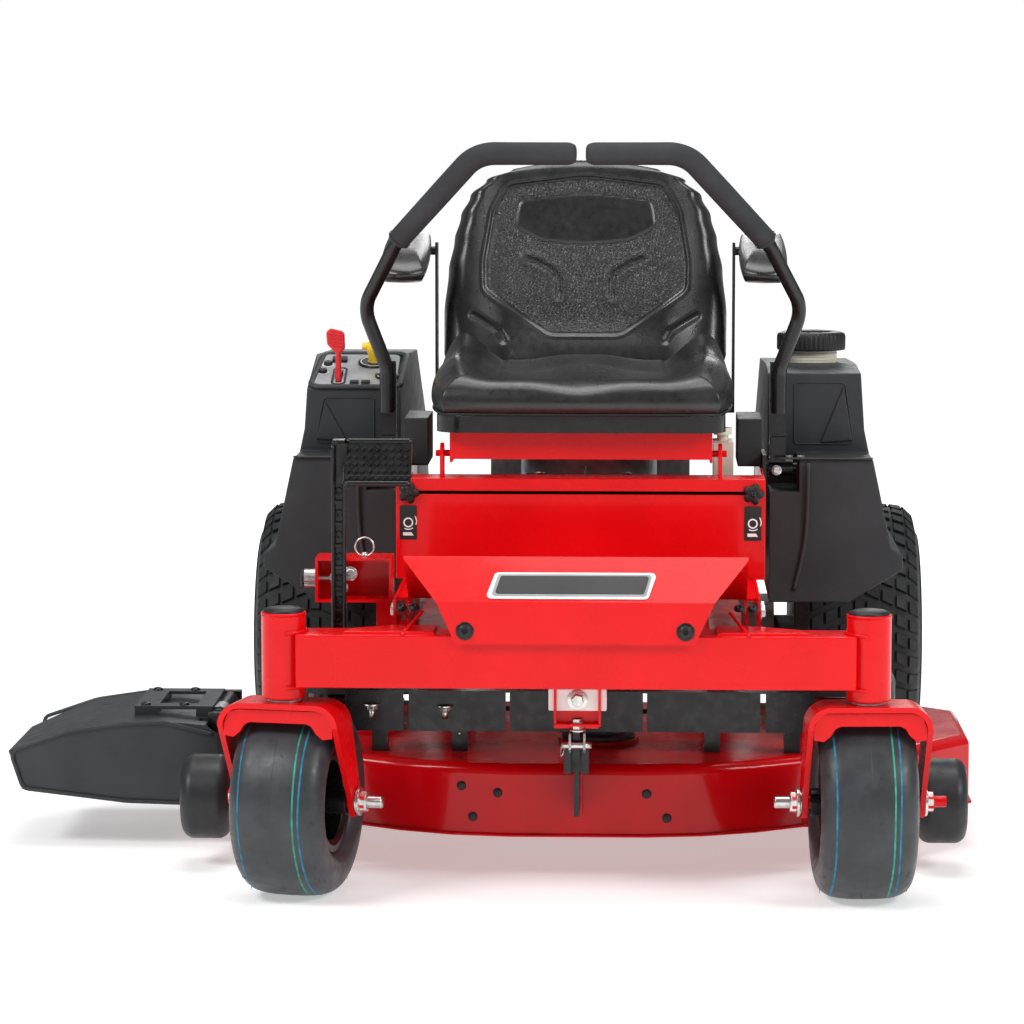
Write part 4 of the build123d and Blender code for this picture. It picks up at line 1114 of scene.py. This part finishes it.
def throttle_paddle():
    """The red throttle lever: a leaning paddle on a narrow stem, with grip ribs."""
    y = (on_panel(-392, 44).y - AXLE_Y) * 1000
    corners = [(-388, 690), (-399, 690), (-397, 744), (-411, 758), (-413, 786), (-383, 779),
               (-382, 752), (-389, 744)]
    loop = plane_loop(corners, [3, 3, 8, 8, 9, 9, 7, 8], lambda x, z: at(x, y, z))
    paddle = rounded_plate("throttle_paddle", loop, 0.013, RED_PLASTIC, (0, -1, 0), 3.0)
    ride(paddle, "throttle")
    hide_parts("throttle_lever")
    for i, z in enumerate((756, 762, 768, 774)):
        rib = [at(x, y - 13.4, z - (x + 397) * 0.2) for x in range(-408, -386, 3)]
        ride(tube(f"throttle_rib_{i}", rib, 0.0010, RED_PLASTIC, 8), "throttle")
    foot = [at(-393.5, y - 6, z) for z in (690, 694, 698, 702)]
    ride(tube("throttle_foot", foot, 0.0062, RED_PLASTIC, 20), "throttle")


def filler_cap():
    """The knurled filler cap with its top well, and the neck's thread."""
    centre = at(368, 800, 741)
    up = Vector((0, 0, 1))
    profile = [(0, 43.5), (0, 55), (2.5, 56), (22, 56), (26, 54.5), (28.5, 50), (29.5, 46),
               (29.5, 38), (27, 35), (25, 30), (25.5, 14), (27, 8), (27, 0.01)]
    cap = lathe("fuel_cap_shell", profile, centre, up, BLACK_PLASTIC, 220)
    for vert in cap.data.vertices:
        arm = vert.co - centre
        flat = Vector((arm.x, arm.y, 0))
        if flat.length > 0.0535 and 0.001 < arm.z < 0.0275:
            turn = math.atan2(arm.y, arm.x)
            cut = 0.0016 * (0.5 + 0.5 * math.cos(44 * turn))
            vert.co -= flat.normalized() * cut
    ride(cap, "fuel_cap")
    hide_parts("fuel_cap")
    bar = [at(368 + dx, 800 + dy, 767) for dx, dy in ((-30, -8), (30, -8), (30, 8), (-30, 8))]
    ride(rounded_plate("fuel_cap_bar", bar, 0.005, BLACK_PLASTIC, up, 2.0), "fuel_cap")
    for i, level in enumerate((726, 731, 736)):
        ring = [(-0.9, 42.1), (0, 43.2), (0.9, 42.1)]
        ride(lathe(f"neck_thread_{i}", ring, at(368, 800, level), up, CREAM, 72), "chassis")


def moulded_recess(side):
    """The sunk panel in a console's front, shown by its raised border and a crease."""
    sign = SIGN[side]
    front = Vector((0, -1, 0))
    top = 676 if side == "left" else 702
    corners = [(334, 604), (428, 604), (414, top), (334, top)]
    loop = plane_loop([(sign * x, z) for x, z in corners], [6, 8, 8, 6],
                      lambda x, z: at(x, 599.8, z))
    ride(ribbon(f"console_border_{side}", loop, 3, 1.6, front, CHARCOAL, closed=True), "chassis")
    facet = [at(sign * x, 599.7, z) for x, z in ((376, 606), (426, 610), (412, top - 6))]
    ride(rounded_plate(f"console_facet_{side}", facet, 0.0035, CHARCOAL, front, 1.5),
         "chassis")
    head = hex_head(f"bar_bolt_{side}", at(sign * 303, 497, 572), front, 6, 4.5, ZINC)
    ride(head, f"lever_{side}")
    ledge = [(300, 484), (452, 484)]
    line = [at(sign * x, y, 590.5) for x, y in ledge]
    ride(ribbon(f"ledge_lip_{side}", resample(line, 12), 8, 3, (0, 0, 1), CHARCOAL), "chassis")
    line = smooth_line([at(sign * x, 479.5, z) for x, z in ((330, 384), (348, 470), (352, 585))], 6)
    ride(ribbon(f"fender_crease_{side}", line, 6, 2.6, front, CHARCOAL), "chassis")
    for i, x in enumerate((322, 340)):
        ride(hex_head(f"console_bolt_{side}_{i}", at(sign * x, 498, 590.5), (0, 0, 1), 6.5, 5,
                      ZINC), "chassis")


def fender_sticker(side):
    """A blank pale reflector patch on the fender's outer face."""
    sign = SIGN[side]
    place = [at(sign * x, y, z) for x, y, z in ((482.5, 610, 470), (482.5, 690, 470),
                                                (463.5, 690, 545), (463.5, 610, 545))]
    out = Vector((sign * 0.97, 0, 0.245))
    ride(rounded_plate(f"fender_patch_{side}", [p + out * 0.0002 for p in place], 0.0006,
                       LABEL_GREY, out, 0.2), "chassis")


left_console()
yellow_knob()
key_bow()
throttle_paddle()
filler_cap()
for console_side in SIGN:
    moulded_recess(console_side)
    fender_sticker(console_side)


# ------------------------------------------------------------------ front of the machine
def badge():
    """A blank slanted badge plate on the nose: pale border round a dark field."""
    low = at(0, -112, 443)
    high = at(0, -50, 501)
    rise = (high - low).normalized()
    out = Vector((1, 0, 0)).cross(rise)

    def place(x, u):
        return at(x, -112, 443) + rise * u / 1000

    corners = [(-127, 6), (103, 6), (116, 54), (-114, 54)]
    plate = plane_loop(corners, [7] * 4, lambda x, u: place(x, u) + out * 0.0004)
    ride(rounded_plate("nose_badge_plate", plate, 0.0016, WHITE_INK, out, 0.4), "chassis")
    inner = [(-119, 10), (100, 10), (109, 50), (-110, 50)]
    field = plane_loop(inner, [5] * 4, lambda x, u: place(x, u) + out * 0.0021)
    ride(rounded_plate("nose_badge_field", field, 0.0008, LABEL_GREY, out, 0.2), "chassis")
    dark = [(-114, 13.5), (97, 13.5), (105, 46.5), (-106, 46.5)]
    field = plane_loop(dark, [4] * 4, lambda x, u: place(x, u) + out * 0.003)
    ride(rounded_plate("nose_badge_centre", field, 0.0006, LABEL_BLACK, out, 0.2), "chassis")


def nose_screws():
    """The two black screws low on the nose and their washers."""
    for side, sign in SIGN.items():
        place = at(sign * 156, -112.2, 402)
        ride(button_head(f"nose_screw_{side}", place, (0, -1, 0), 10.5, 6, BLACK_PLASTIC),
             "chassis")
        washer = [(0, 13), (0.8, 13), (1.2, 12), (1.2, 6)]
        ride(lathe(f"nose_washer_{side}", washer, place, (0, -1, 0), BLACK, 40), "chassis")


def star_knob(side):
    """A five-lobed tracking knob in front of the seat box."""
    low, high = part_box(f"tracking_knob_{side}")
    centre = Vector(((low[0] + high[0]) / 2, high[1] - 0.012, (low[2] + high[2]) / 2))
    work = bmesh.new()
    rings = []
    for reach, lift in ((0.55, 0), (0.9, 1.5), (1.0, 5), (1.0, 13), (0.92, 16.5), (0.7, 18.2),
                        (0.35, 18.6)):
        ring = []
        for k in range(100):
            turn = 2 * math.pi * k / 100
            lobe = 14.6 + 2.4 * math.cos(5 * turn) - 0.5 * math.cos(10 * turn)
            place = centre + Vector((math.cos(turn), 0, math.sin(turn))) * lobe * reach / 1000
            ring.append(work.verts.new(place + Vector((0, -lift / 1000, 0))))
        rings.append(ring)
    for first, second in zip(rings, rings[1:]):
        for k in range(100):
            m = (k + 1) % 100
            work.faces.new((first[k], first[m], second[m], second[k]))
    work.faces.new(rings[-1])
    work.faces.new(rings[0][::-1])
    made = from_bmesh(f"star_knob_{side}", work, BLACK_PLASTIC)
    ride(made, f"tracking_{side}")
    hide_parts(f"tracking_knob_{side}")
    ride(button_head(f"star_knob_screw_{side}", centre + Vector((0, -0.0186, 0)), (0, -1, 0),
                     4.5, 2, BLACK), f"tracking_{side}")


def tracking_label(side):
    """The black guide patch under a tracking knob: a ring and two arrows, no words."""
    sign = SIGN[side]
    x0 = sign * 261
    corners = [(x0 - 13, 484), (x0 + 13, 484), (x0 + 13, 536), (x0 - 13, 536)]
    plate = plane_loop(corners, [2] * 4, lambda x, z: at(x, 299.7, z))
    out = (0, -1, 0)
    ride(rounded_plate(f"tracking_patch_{side}", plate, 0.0007, LABEL_BLACK, out, 0.2), "chassis")
    ride(printed_ring(f"tracking_mark_{side}", at(x0, 299, 510), out, 6.5, 2.2, WHITE_INK),
         "chassis")
    for i, (start, sweep) in enumerate(((0.3, 1.1), (1.9, 1.1))):
        ride(printed_ring(f"tracking_arc_{side}_{i}", at(x0, 299, 512), out, 12.5, 1.6,
                          WHITE_INK, start, sweep), "chassis")
    bar = [(x0 - 8, 490), (x0 + 8, 490), (x0 + 5, 495), (x0 - 8, 495)]
    mark = [at(x, 299.0, z) for x, z in bar]
    ride(rounded_plate(f"tracking_bar_{side}", mark, 0.0005, WHITE_INK, out, 0.1), "chassis")


def barrel_details(side):
    """Caster barrel: domed grease cap, rolled top rim, weld beads to the beam."""
    sign = SIGN[side]
    centre = at(sign * 417, -65, 422)
    up = (0, 0, 1)
    dome = [(0, 29.5), (1.5, 29.8), (4, 28.6), (6, 24), (7.4, 15), (7.8, 0.01)]
    ride(lathe(f"barrel_cap_{side}", dome, centre, up, BLACK_PLASTIC, 60), "chassis")
    rim = [(-4, 32), (-0.5, 32.6), (0.6, 31.6), (0.6, 28.5), (-1, 28.5)]
    ride(lathe(f"barrel_rim_{side}", rim, centre, up, RED, 60, closed=True), "chassis")
    for name, level in (("top", 395), ("bottom", 317)):
        bead = []
        for k in range(25):
            turn = math.pi * (0.5 + (k - 12) / 24 * 0.9)
            wave = 0.5 * math.sin(k * 2.6)
            bead.append(at(sign * (417 - (32.5 + wave) * math.sin(turn)),
                           -65 + 32.5 * math.cos(turn), level + wave))
        ride(tube(f"barrel_weld_{name}_{side}", bead, 0.0032, RED, 12), "chassis")


def weld_line(name, start, end):
    """A rippled weld bead between two places."""
    count = max(int((end - start).length / 0.004), 6)
    path = [start.lerp(end, k / count) for k in range(count + 1)]

    def radius(t):
        return 0.0026 + 0.0005 * math.sin(t * count * 2.2)

    ride(tube(name, path, radius, RED, 10), "chassis")


def hanger():
    """The deck's front hanger: red channel, white slide block, bolt, washer, stud and nuts."""
    front = Vector((0, -1, 0))
    for i, x in enumerate((-32, 32)):
        cheek = [at(x, y, z) for y, z in ((-28, 318), (-28, 256), (18, 256), (18, 318))]
        ride(rounded_plate(f"hanger_cheek_{i}", cheek, 0.004, RED, (1, 0, 0), 0.8), "chassis")
    sill = [at(x, y, 256) for x, y in ((-32, -28), (36, -28), (36, 18), (-32, 18))]
    ride(rounded_plate("hanger_sill", sill, 0.004, RED, (0, 0, -1), 0.8), "chassis")
    # Painted shade: the channel's web, recessed behind its cheeks and sill, takes the darker deck red.
    web = [at(x, 14, z) for x, z in ((-28, 252), (32, 252), (32, 318), (-28, 318))]
    ride(rounded_plate("hanger_web", web, 0.004, DECK_RED_AND_WEB_SHADE, (0, 1, 0), 0.8), "chassis")
    block = [at(x, y, 306) for x, y in ((-40, -22), (44, -22), (44, 10), (-40, 10))]
    ride(rounded_plate("hanger_slide_block", block, 0.032, SLIDER_WHITE, (0, 0, -1), 2.0),
         "chassis")
    ride(hex_head("hanger_bolt", at(2, -22, 290), front, 9.5, 9, ZINC), "chassis")
    washer = [(0, 15), (1.6, 15), (2, 14.4), (2, 7)]
    ride(lathe("hanger_washer", washer, at(2, -22, 290), front, ZINC, 44), "chassis")
    stud = [at(2, -14, z) for z in (262, 255, 248, 242)]
    ride(tube("hanger_stud", stud, 0.0052, ZINC, 20), "chassis")
    for i, level in enumerate((262, 252)):
        ride(hex_head(f"hanger_nut_{i}", at(2, -14, level - 8), (0, 0, 1), 9, 8, ZINC), "chassis")


def clevis():
    """The zinc clevis that lifts the deck, with its pin and clip."""
    for i, x in enumerate((-11, 10)):
        fork = [at(x, y, z) for y, z in ((-8, 238), (12, 238), (15, 216), (2, 208), (-11, 216))]
        ride(rounded_plate(f"clevis_cheek_{i}", fork, 0.0035, ZINC, (1, 0, 0), 0.8), "chassis")
    pin = [at(x, 2, 220) for x in (-22, -8, 8, 22)]
    ride(tube("clevis_pin", pin, 0.0048, ZINC, 20), "chassis")
    ring = [at(-20 + 3 * math.cos(a), 2 + 5 * math.sin(a), 214 + 9 * math.sin(a + 0.7))
            for a in [2 * math.pi * k / 24 for k in range(24)]]
    ride(tube("clevis_clip", ring, 0.0011, ZINC, 8, closed=True), "chassis")


def deck_plugs():
    """The black plugs and the lift strap on the deck's front."""
    for i, (x, z) in enumerate(((-172, 139), (-118, 130), (-155, 93), (102, 130), (132, 93))):
        side = abs(x)
        y = 106 if side < 100 else 106 + (side - 100) * 13 / 85
        plug = [(0, 7), (1.2, 6.8), (2.2, 5), (2.4, 0.01)]
        ride(lathe(f"deck_plug_{i}", plug, at(x, y - 0.3, z), (0, -1, 0), BLACK_PLASTIC, 32),
             "deck")
    strap = [at(x, y, z) for x, y, z in ((2, 94, 205), (2, 104, 205), (2, 104, 98), (2, 96, 98))]
    ride(rounded_plate("deck_strap", strap, 0.006, DECK_RED_AND_WEB_SHADE, (1, 0, 0), 1.0), "deck")


def hanging_bolts():
    """Zinc bolts under the cross plates, with nuts and bare thread ends."""
    for i, (x, y, z) in enumerate(((-311, 214, 245), (-201, 214, 243), (-180, 234, 200))):
        head = at(x, y, z)
        ride(hex_head(f"link_nut_{i}", head, (0, 0, -1), 9, 9, ZINC), "deck")
        end = [head + Vector((0, 0, -0.001 * k)) for k in (4, 12, 20)]
        ride(tube(f"link_thread_{i}", end, 0.0048, ZINC, 16), "deck")


badge()
nose_screws()
for front_side in SIGN:
    star_knob(front_side)
    tracking_label(front_side)
    barrel_details(front_side)
hanger()
clevis()
deck_plugs()
hanging_bolts()
weld_line("beam_weld_left", at(-246, -103, 394), at(-220, -42, 420))
weld_line("beam_weld_right", at(246, -103, 394), at(220, -42, 420))


# ------------------------------------------------------------------ casters
def caster_frame(side):
    """The caster's axle centre with its across and forward directions."""
    centre, _ = wheel_axes(f"caster_wheel_{side}_roll")
    pivot = pivot_left if side == "left" else pivot_right
    forward = Vector((pivot.x - centre.x, pivot.y - centre.y, 0)).normalized()
    across = forward.cross(Vector((0, 0, 1)))
    return centre, across, forward


def fork_details(side):
    """Scalloped stiffeners, axle nut with bare thread, axle head and kingpin washer."""
    centre, across, forward = caster_frame(side)
    body = f"caster_{side}"

    def place(a, f, z):
        return centre + (across * a + forward * f + Vector((0, 0, z - 140))) / 1000

    lower = [(80, 246), (66, 244), (56, 252), (50, 262), (42, 266), (-42, 266), (-50, 262),
             (-56, 252), (-66, 244), (-80, 246)]
    upper = [(-81, 262), (-74, 280), (-60, 284.5), (60, 284.5), (74, 280), (81, 262)]
    for i, f in enumerate((93, 34)):
        plate = [place(a, f, z) for a, z in lower + upper]
        ride(rounded_plate(f"fork_stiffener_{side}_{i}", plate, 0.005, RED, forward, 0.8), body)
    ends = {"left": 1, "right": -1}
    inner = ends[side] if across.x > 0 else -ends[side]
    out = across * inner
    nut = centre + out * 0.0895
    ride(lathe(f"axle_washer_{side}", [(0, 17), (2.4, 17), (2.8, 16), (2.8, 9)], nut, out, ZINC,
               44), body)
    ride(hex_head(f"axle_nut_{side}", nut + out * 0.0025, out, 15.5, 14, ZINC), body)
    thread = []
    for k in range(15):
        thread += [(14 + 1.6 * k, 9.0), (14.8 + 1.6 * k, 8.1)]
    thread += [(38.5, 7.4), (38.8, 0.01)]
    ride(lathe(f"axle_thread_{side}", thread, nut, out, ZINC, 36), body)
    head = centre - out * 0.0895
    ride(hex_head(f"axle_head_{side}", head, -out, 15.5, 13, ZINC), body)
    pivot = pivot_left if side == "left" else pivot_right
    washer = [(0, 24), (3.5, 24), (4, 23), (4, 16.5)]
    ride(lathe(f"kingpin_washer_{side}", washer, Vector((pivot.x, pivot.y, 0.2945)), (0, 0, 1),
               ZINC, 44), body)


def chassis_fasteners():
    """Zinc floor bolts, in place of the plain CAD set that also held caps and screws."""
    for side, sign in SIGN.items():
        for y in (96, 136):
            bolt = hex_head(f"floor_bolt_{side}_{y}", at(sign * 266.5, y, 404), (sign, 0, 0), 10,
                            8, ZINC)
            ride(bolt, "chassis")
        for i, (x, y) in enumerate(((234, -8), (254, 18))):
            screw = button_head(f"gusset_screw_{side}_{i}", at(sign * x, y, 421 - 4 * i),
                                (0, -0.5, 0.87), 8, 5, BLACK_PLASTIC)
            ride(screw, "chassis")
    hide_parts("frame_fasteners")


# ------------------------------------------------------------------ pedal and height control
def pedal_details():
    """Ribs and bosses in the cast pedal's channel, tread on its pad, and its rim."""
    x, y = -349, 92
    for i, z in enumerate((372, 404, 436, 468, 500, 532, 564)):
        rib = [at(x + dx, y - 13, z + dz) for dx, dz in ((-6, -3), (6, -3), (6, 3), (-6, 3))]
        ride(rounded_plate(f"pedal_rib_{i}", rib, 0.008, BLACK, (0, 1, 0), 1.0), "pedal")
        ring = [(0, 5.6), (1.2, 5.4), (1.2, 3.6), (0, 3.4)]
        ride(lathe(f"pedal_boss_{i}", ring, at(x, y - 10, z + 16), (0, -1, 0), BLACK, 28,
                   closed=True), "pedal")
    for end in (-1, 1):
        edge = [at(x + end * 8.4, y - 14.5, z) for z in (360, 420, 480, 540, 600, 650)]
        ride(ribbon(f"pedal_flange_{'in' if end > 0 else 'out'}", resample(edge, 30), 5, 3,
                    (0, -1, 0), BLACK), "pedal")
    face = Vector((0, -0.85, 0.527)).normalized()
    along = Vector((0, 0.527, 0.85)).normalized()
    base = at(0, 52, 594) + face * 0.0006
    for row in range(5):
        for column in range(9):
            centre = base + Vector((-0.334 + column * 0.0105, 0, 0))
            centre += along * (0.009 + row * 0.0118)
            stud = [centre + Vector((dx, 0, 0)) + along * du for dx, du in
                    ((-0.0036, 0), (0, -0.0044), (0.0036, 0), (0, 0.0044))]
            ride(rounded_plate(f"pedal_stud_{row}_{column}", stud, 0.0026, BLACK, face, 0.6),
                 "pedal")
    for name, y, z in (("top", 90, 652.5), ("bottom", 53, 594)):
        lip = [at(px, y, z) for px in range(-340, -240, 7)]
        ride(tube(f"pedal_pad_lip_{name}", lip, 0.0042, BLACK, 16), "pedal")


def height_control():
    """The black pull knob's face, its locknut, and the wire ring on the box."""
    ride(knob("height_pin_cap", at(-408.2, 176, 440), (-1, 0, 0), 13, 5, BLACK_PLASTIC, 8),
         "height_pin")
    ride(hex_head("height_lock_nut", at(-369, 176, 440), (1, 0, 0), 9, 9, ZINC), "chassis")
    ring = []
    for k in range(40):
        turn = 2 * math.pi * k / 40
        ring.append(at(-318 + 14 * math.cos(turn), 168, 488 + 14 * math.sin(turn)))
    ride(tube("height_ring", ring, 0.0014, ZINC, 10, closed=True), "chassis")
    eye = [at(-318, 168, z) for z in (468, 474, 480)]
    ride(tube("height_ring_post", eye, 0.004, ZINC, 16), "chassis")
    for i, x in enumerate((-352, -338)):
        ride(hex_head(f"height_box_bolt_{i}", at(x, 150, 430 + 20 * i), (0, -1, 0), 8, 7, ZINC),
             "chassis")


# ------------------------------------------------------------------ chute
def chute_details():
    """Rolled lips on the chute's edges, the hinge leaf's rivets and its spring."""
    for name, y in (("front", 338.5), ("rear", 656.5)):
        edge = [(-566, 176), (-640, 194), (-710, 191), (-790, 179), (-880, 148), (-861, 90),
                (-700, 71), (-562, 67)]
        path = resample(arc_path([at(x, y, z) for x, z in edge],
                                 [0.05, 0.08, 0.08, 0.012, 0.012, 0.1]), 120)
        out = (0, -1, 0) if name == "front" else (0, 1, 0)
        ride(ribbon(f"chute_lip_{name}", path, 6, 3.2, out, CHUTE_GREY), "chute")
    for i, (x, y) in enumerate(((-680, 425), (-680, 575), (-620, 425), (-620, 575))):
        ride(button_head(f"chute_rivet_{i}", at(x, y, 208), (0, 0, 1), 8, 4, BLACK), "chute")
    spring = []
    for k in range(140):
        turn = 2 * math.pi * k / 14
        spring.append(at(-566 + 15.5 * math.cos(turn), 425 + k * 0.36, 190 + 15.5 * math.sin(turn)))
    ride(tube("chute_spring", spring, 0.0013, STEEL, 8), "chute")


for caster_side in SIGN:
    fork_details(caster_side)
chassis_fasteners()
pedal_details()
height_control()
chute_details()


# ------------------------------------------------------------------ engine and rear
def shroud_details():
    """Cooling screen, louvres and seam on the fan shroud, and the filter's covers and ribs."""
    up = Vector((0, 0, 1))
    top = at(0, 1190, 690)
    rings = [(0, 112), (5, 111), (6, 108), (6, 104), (1, 103)]
    ride(lathe("screen_rim", rings, top, up, BLACK_PLASTIC, 96), "chassis")
    for i in range(9):
        radius = 14 + 11 * i
        ring = [(2.2, radius - 2), (4.0, radius), (2.2, radius + 2), (1.0, radius)]
        ride(lathe(f"screen_ring_{i}", ring, top, up, BLACK_PLASTIC, 72, closed=True), "chassis")
    for i in range(12):
        turn = 2 * math.pi * i / 12
        arm = Vector((math.cos(turn), math.sin(turn), 0))
        spoke = [top + arm * (0.008 + 0.0068 * k) + up * 0.0026 for k in range(15)]
        ride(ribbon(f"screen_spoke_{i}", spoke, 4, 2.4, up, BLACK_PLASTIC), "chassis")
    ride(lathe("screen_hub", [(1, 14), (7, 14), (9, 12), (9.5, 0.01)], top, up, BLACK_PLASTIC, 48),
         "chassis")
    for sign in (-1, 1):
        for i in range(7):
            y = 1110 + 26 * i
            slot = [at(sign * 190.2, y + 0.2 * k, 560 + 8 * k) for k in range(12)]
            ride(ribbon(f"shroud_louvre_{i}_{'right' if sign > 0 else 'left'}", slot, 9, 4,
                        (sign, 0, 0), CHARCOAL), "chassis")
    for i in range(10):
        x = -108 + 24 * i
        slot = [at(x, 1390.2, 560 + 7 * k) for k in range(12)]
        ride(ribbon(f"shroud_rear_louvre_{i}", slot, 9, 4, (0, 1, 0), CHARCOAL), "chassis")
    seam = plane_loop([(-188, 1022), (188, 1022), (188, 1388), (-188, 1388)], [58] * 4,
                      lambda x, y: at(x * 1.012, 1205 + (y - 1205) * 1.012, 552), 12)
    ride(tube("shroud_seam", seam, 0.0034, CHARCOAL, 12, closed=True), "chassis")
    for i, x in enumerate((-124.5, 124.5)):
        sign = 1 if x > 0 else -1
        cover = [(0, 44), (3, 43.5), (5, 40), (5, 14), (7, 12), (12, 11), (13, 9), (13, 0.01)]
        ride(lathe(f"filter_cover_{i}", cover, at(x, 965, 610), (sign, 0, 0), BLACK_PLASTIC, 72),
             "chassis")
    for i in range(11):
        x = -100 + 20 * i
        ring = [(-2.5, 45.6), (-1, 47.2), (1, 47.2), (2.5, 45.6)]
        ride(lathe(f"filter_rib_{i}", ring, at(x, 965, 610), (1, 0, 0), BLACK_PLASTIC, 72),
             "chassis")


def engine_details():
    """Oil filter, plug leads, sump bolts, muffler ends, black discs of painted shade for its holes, and straps."""
    can = [(0, 36), (6, 38), (70, 38), (78, 33), (80, 20), (80, 0.01)]
    ride(lathe("oil_filter", can, at(60, 1284, 430), (0.5, 0.86, 0), YELLOW, 72), "chassis")
    for side, sign in SIGN.items():
        lead = smooth_line([at(sign * 128, 1330, 475), at(sign * 150, 1352, 500),
                            at(sign * 148, 1340, 538), at(sign * 120, 1300, 560)], 10)
        ride(tube(f"plug_lead_{side}", lead, 0.0036, BLACK_PLASTIC, 14), "chassis")
        boot = [(0, 10), (4, 11), (26, 8.5), (30, 5), (30.5, 0.01)]
        ride(lathe(f"plug_boot_{side}", boot, at(sign * 128, 1330, 475), (sign * 0.6, 0.6, 0.5),
                   BLACK_PLASTIC, 36), "chassis")
        seam = [(0, 52.6), (-8, 53.4), (-14, 52.4), (-14, 51.5)]
        ride(lathe(f"muffler_seam_{side}", seam, at(sign * 150, 1452, 470), (sign, 0, 0), STEEL,
                   72), "chassis")
        dish = [(0.2, 44), (1.6, 41), (0.6, 30), (0.6, 12), (2.0, 10), (2.0, 0.01)]
        ride(lathe(f"muffler_end_{side}", dish, at(sign * 150, 1452, 470), (sign, 0, 0), STEEL,
                   72), "chassis")
    for i, x in enumerate((-96, 0, 96)):
        strap = [(-8, 52.2), (-7, 54), (7, 54), (8, 52.2)]
        ride(lathe(f"muffler_strap_{i}", strap, at(x, 1452, 470), (1, 0, 0), ZINC, 96), "chassis")
    # Painted shade: black discs stand in for the shade inside the muffler's holes.
    for row in range(4):
        for column in range(12):
            turn = math.radians(-30 + 20 * row)
            out = Vector((0, math.cos(turn), math.sin(turn)))
            place = at(-66 + 12 * column, 1452, 470) + out * 0.0521
            if abs(-66 + 12 * column) > 9:
                ride(lathe(f"muffler_hole_{row}_{column}", [(0, 3.6), (0.5, 3.2), (0.3, 0.01)],
                           place, out, LABEL_BLACK, 16), "chassis")
    for i in range(8):
        turn = 2 * math.pi * (i + 0.5) / 8
        place = at(108 * math.cos(turn), 1180 + 108 * math.sin(turn), 374)
        ride(hex_head(f"sump_bolt_{i}", place, (0, 0, -1), 8, 7, ZINC), "chassis")


def tail_details():
    """Guard bolts, the drive units' caps and fins, and the battery's clamps, leads and strap."""
    for side, sign in SIGN.items():
        for i, z in enumerate((350, 384)):
            ride(hex_head(f"guard_bolt_{side}_{i}", at(sign * 200, 1440 - 0.2, z), (0, -1, 0), 9, 6,
                          ZINC), "chassis")
        cap = [(0, 30), (3, 32), (18, 32), (22, 29), (23, 18), (27, 15), (28, 0.01)]
        ride(lathe(f"drive_cap_{side}", cap, at(sign * 225, 1120, 306), (0, 0, 1), BLACK_PLASTIC,
                   60), "chassis")
        for k in range(6):
            y = 1105 + 20 * k
            fin = [at(sign * (150 + 8 * j), y, 317.5) for j in range(10)]
            ride(ribbon(f"drive_fin_{side}_{k}", fin, 4, 14, (0, 0, 1), ALLOY), "chassis")
    post = [(0, 12), (6, 12), (8, 10), (14, 9), (14.5, 0.01)]
    for i, (x, colour) in enumerate(((-70, RED_PLASTIC), (70, BLACK_PLASTIC))):
        ride(lathe(f"battery_clamp_{i}", post, at(x, 615, 541), (0, 0, 1), colour, 40), "chassis")
        lead = smooth_line([at(x, 612, 552), at(x * 1.1, 584, 548), at(x * 1.4, 572, 500),
                            at(x * 1.5, 574, 430)], 10)
        ride(tube(f"battery_lead_{i}", lead, 0.005, colour, 16), "chassis")
    strap = [at(0, y, z) for y, z in ((588, 374), (588, 541.5), (762, 541.5), (762, 374))]
    path = resample(arc_path(strap, [0.004, 0.004]), 60)
    ride(ribbon("battery_strap", path, 22, 2.4, (1, 0, 0), BLACK_PLASTIC), "chassis")


shroud_details()
engine_details()
tail_details()
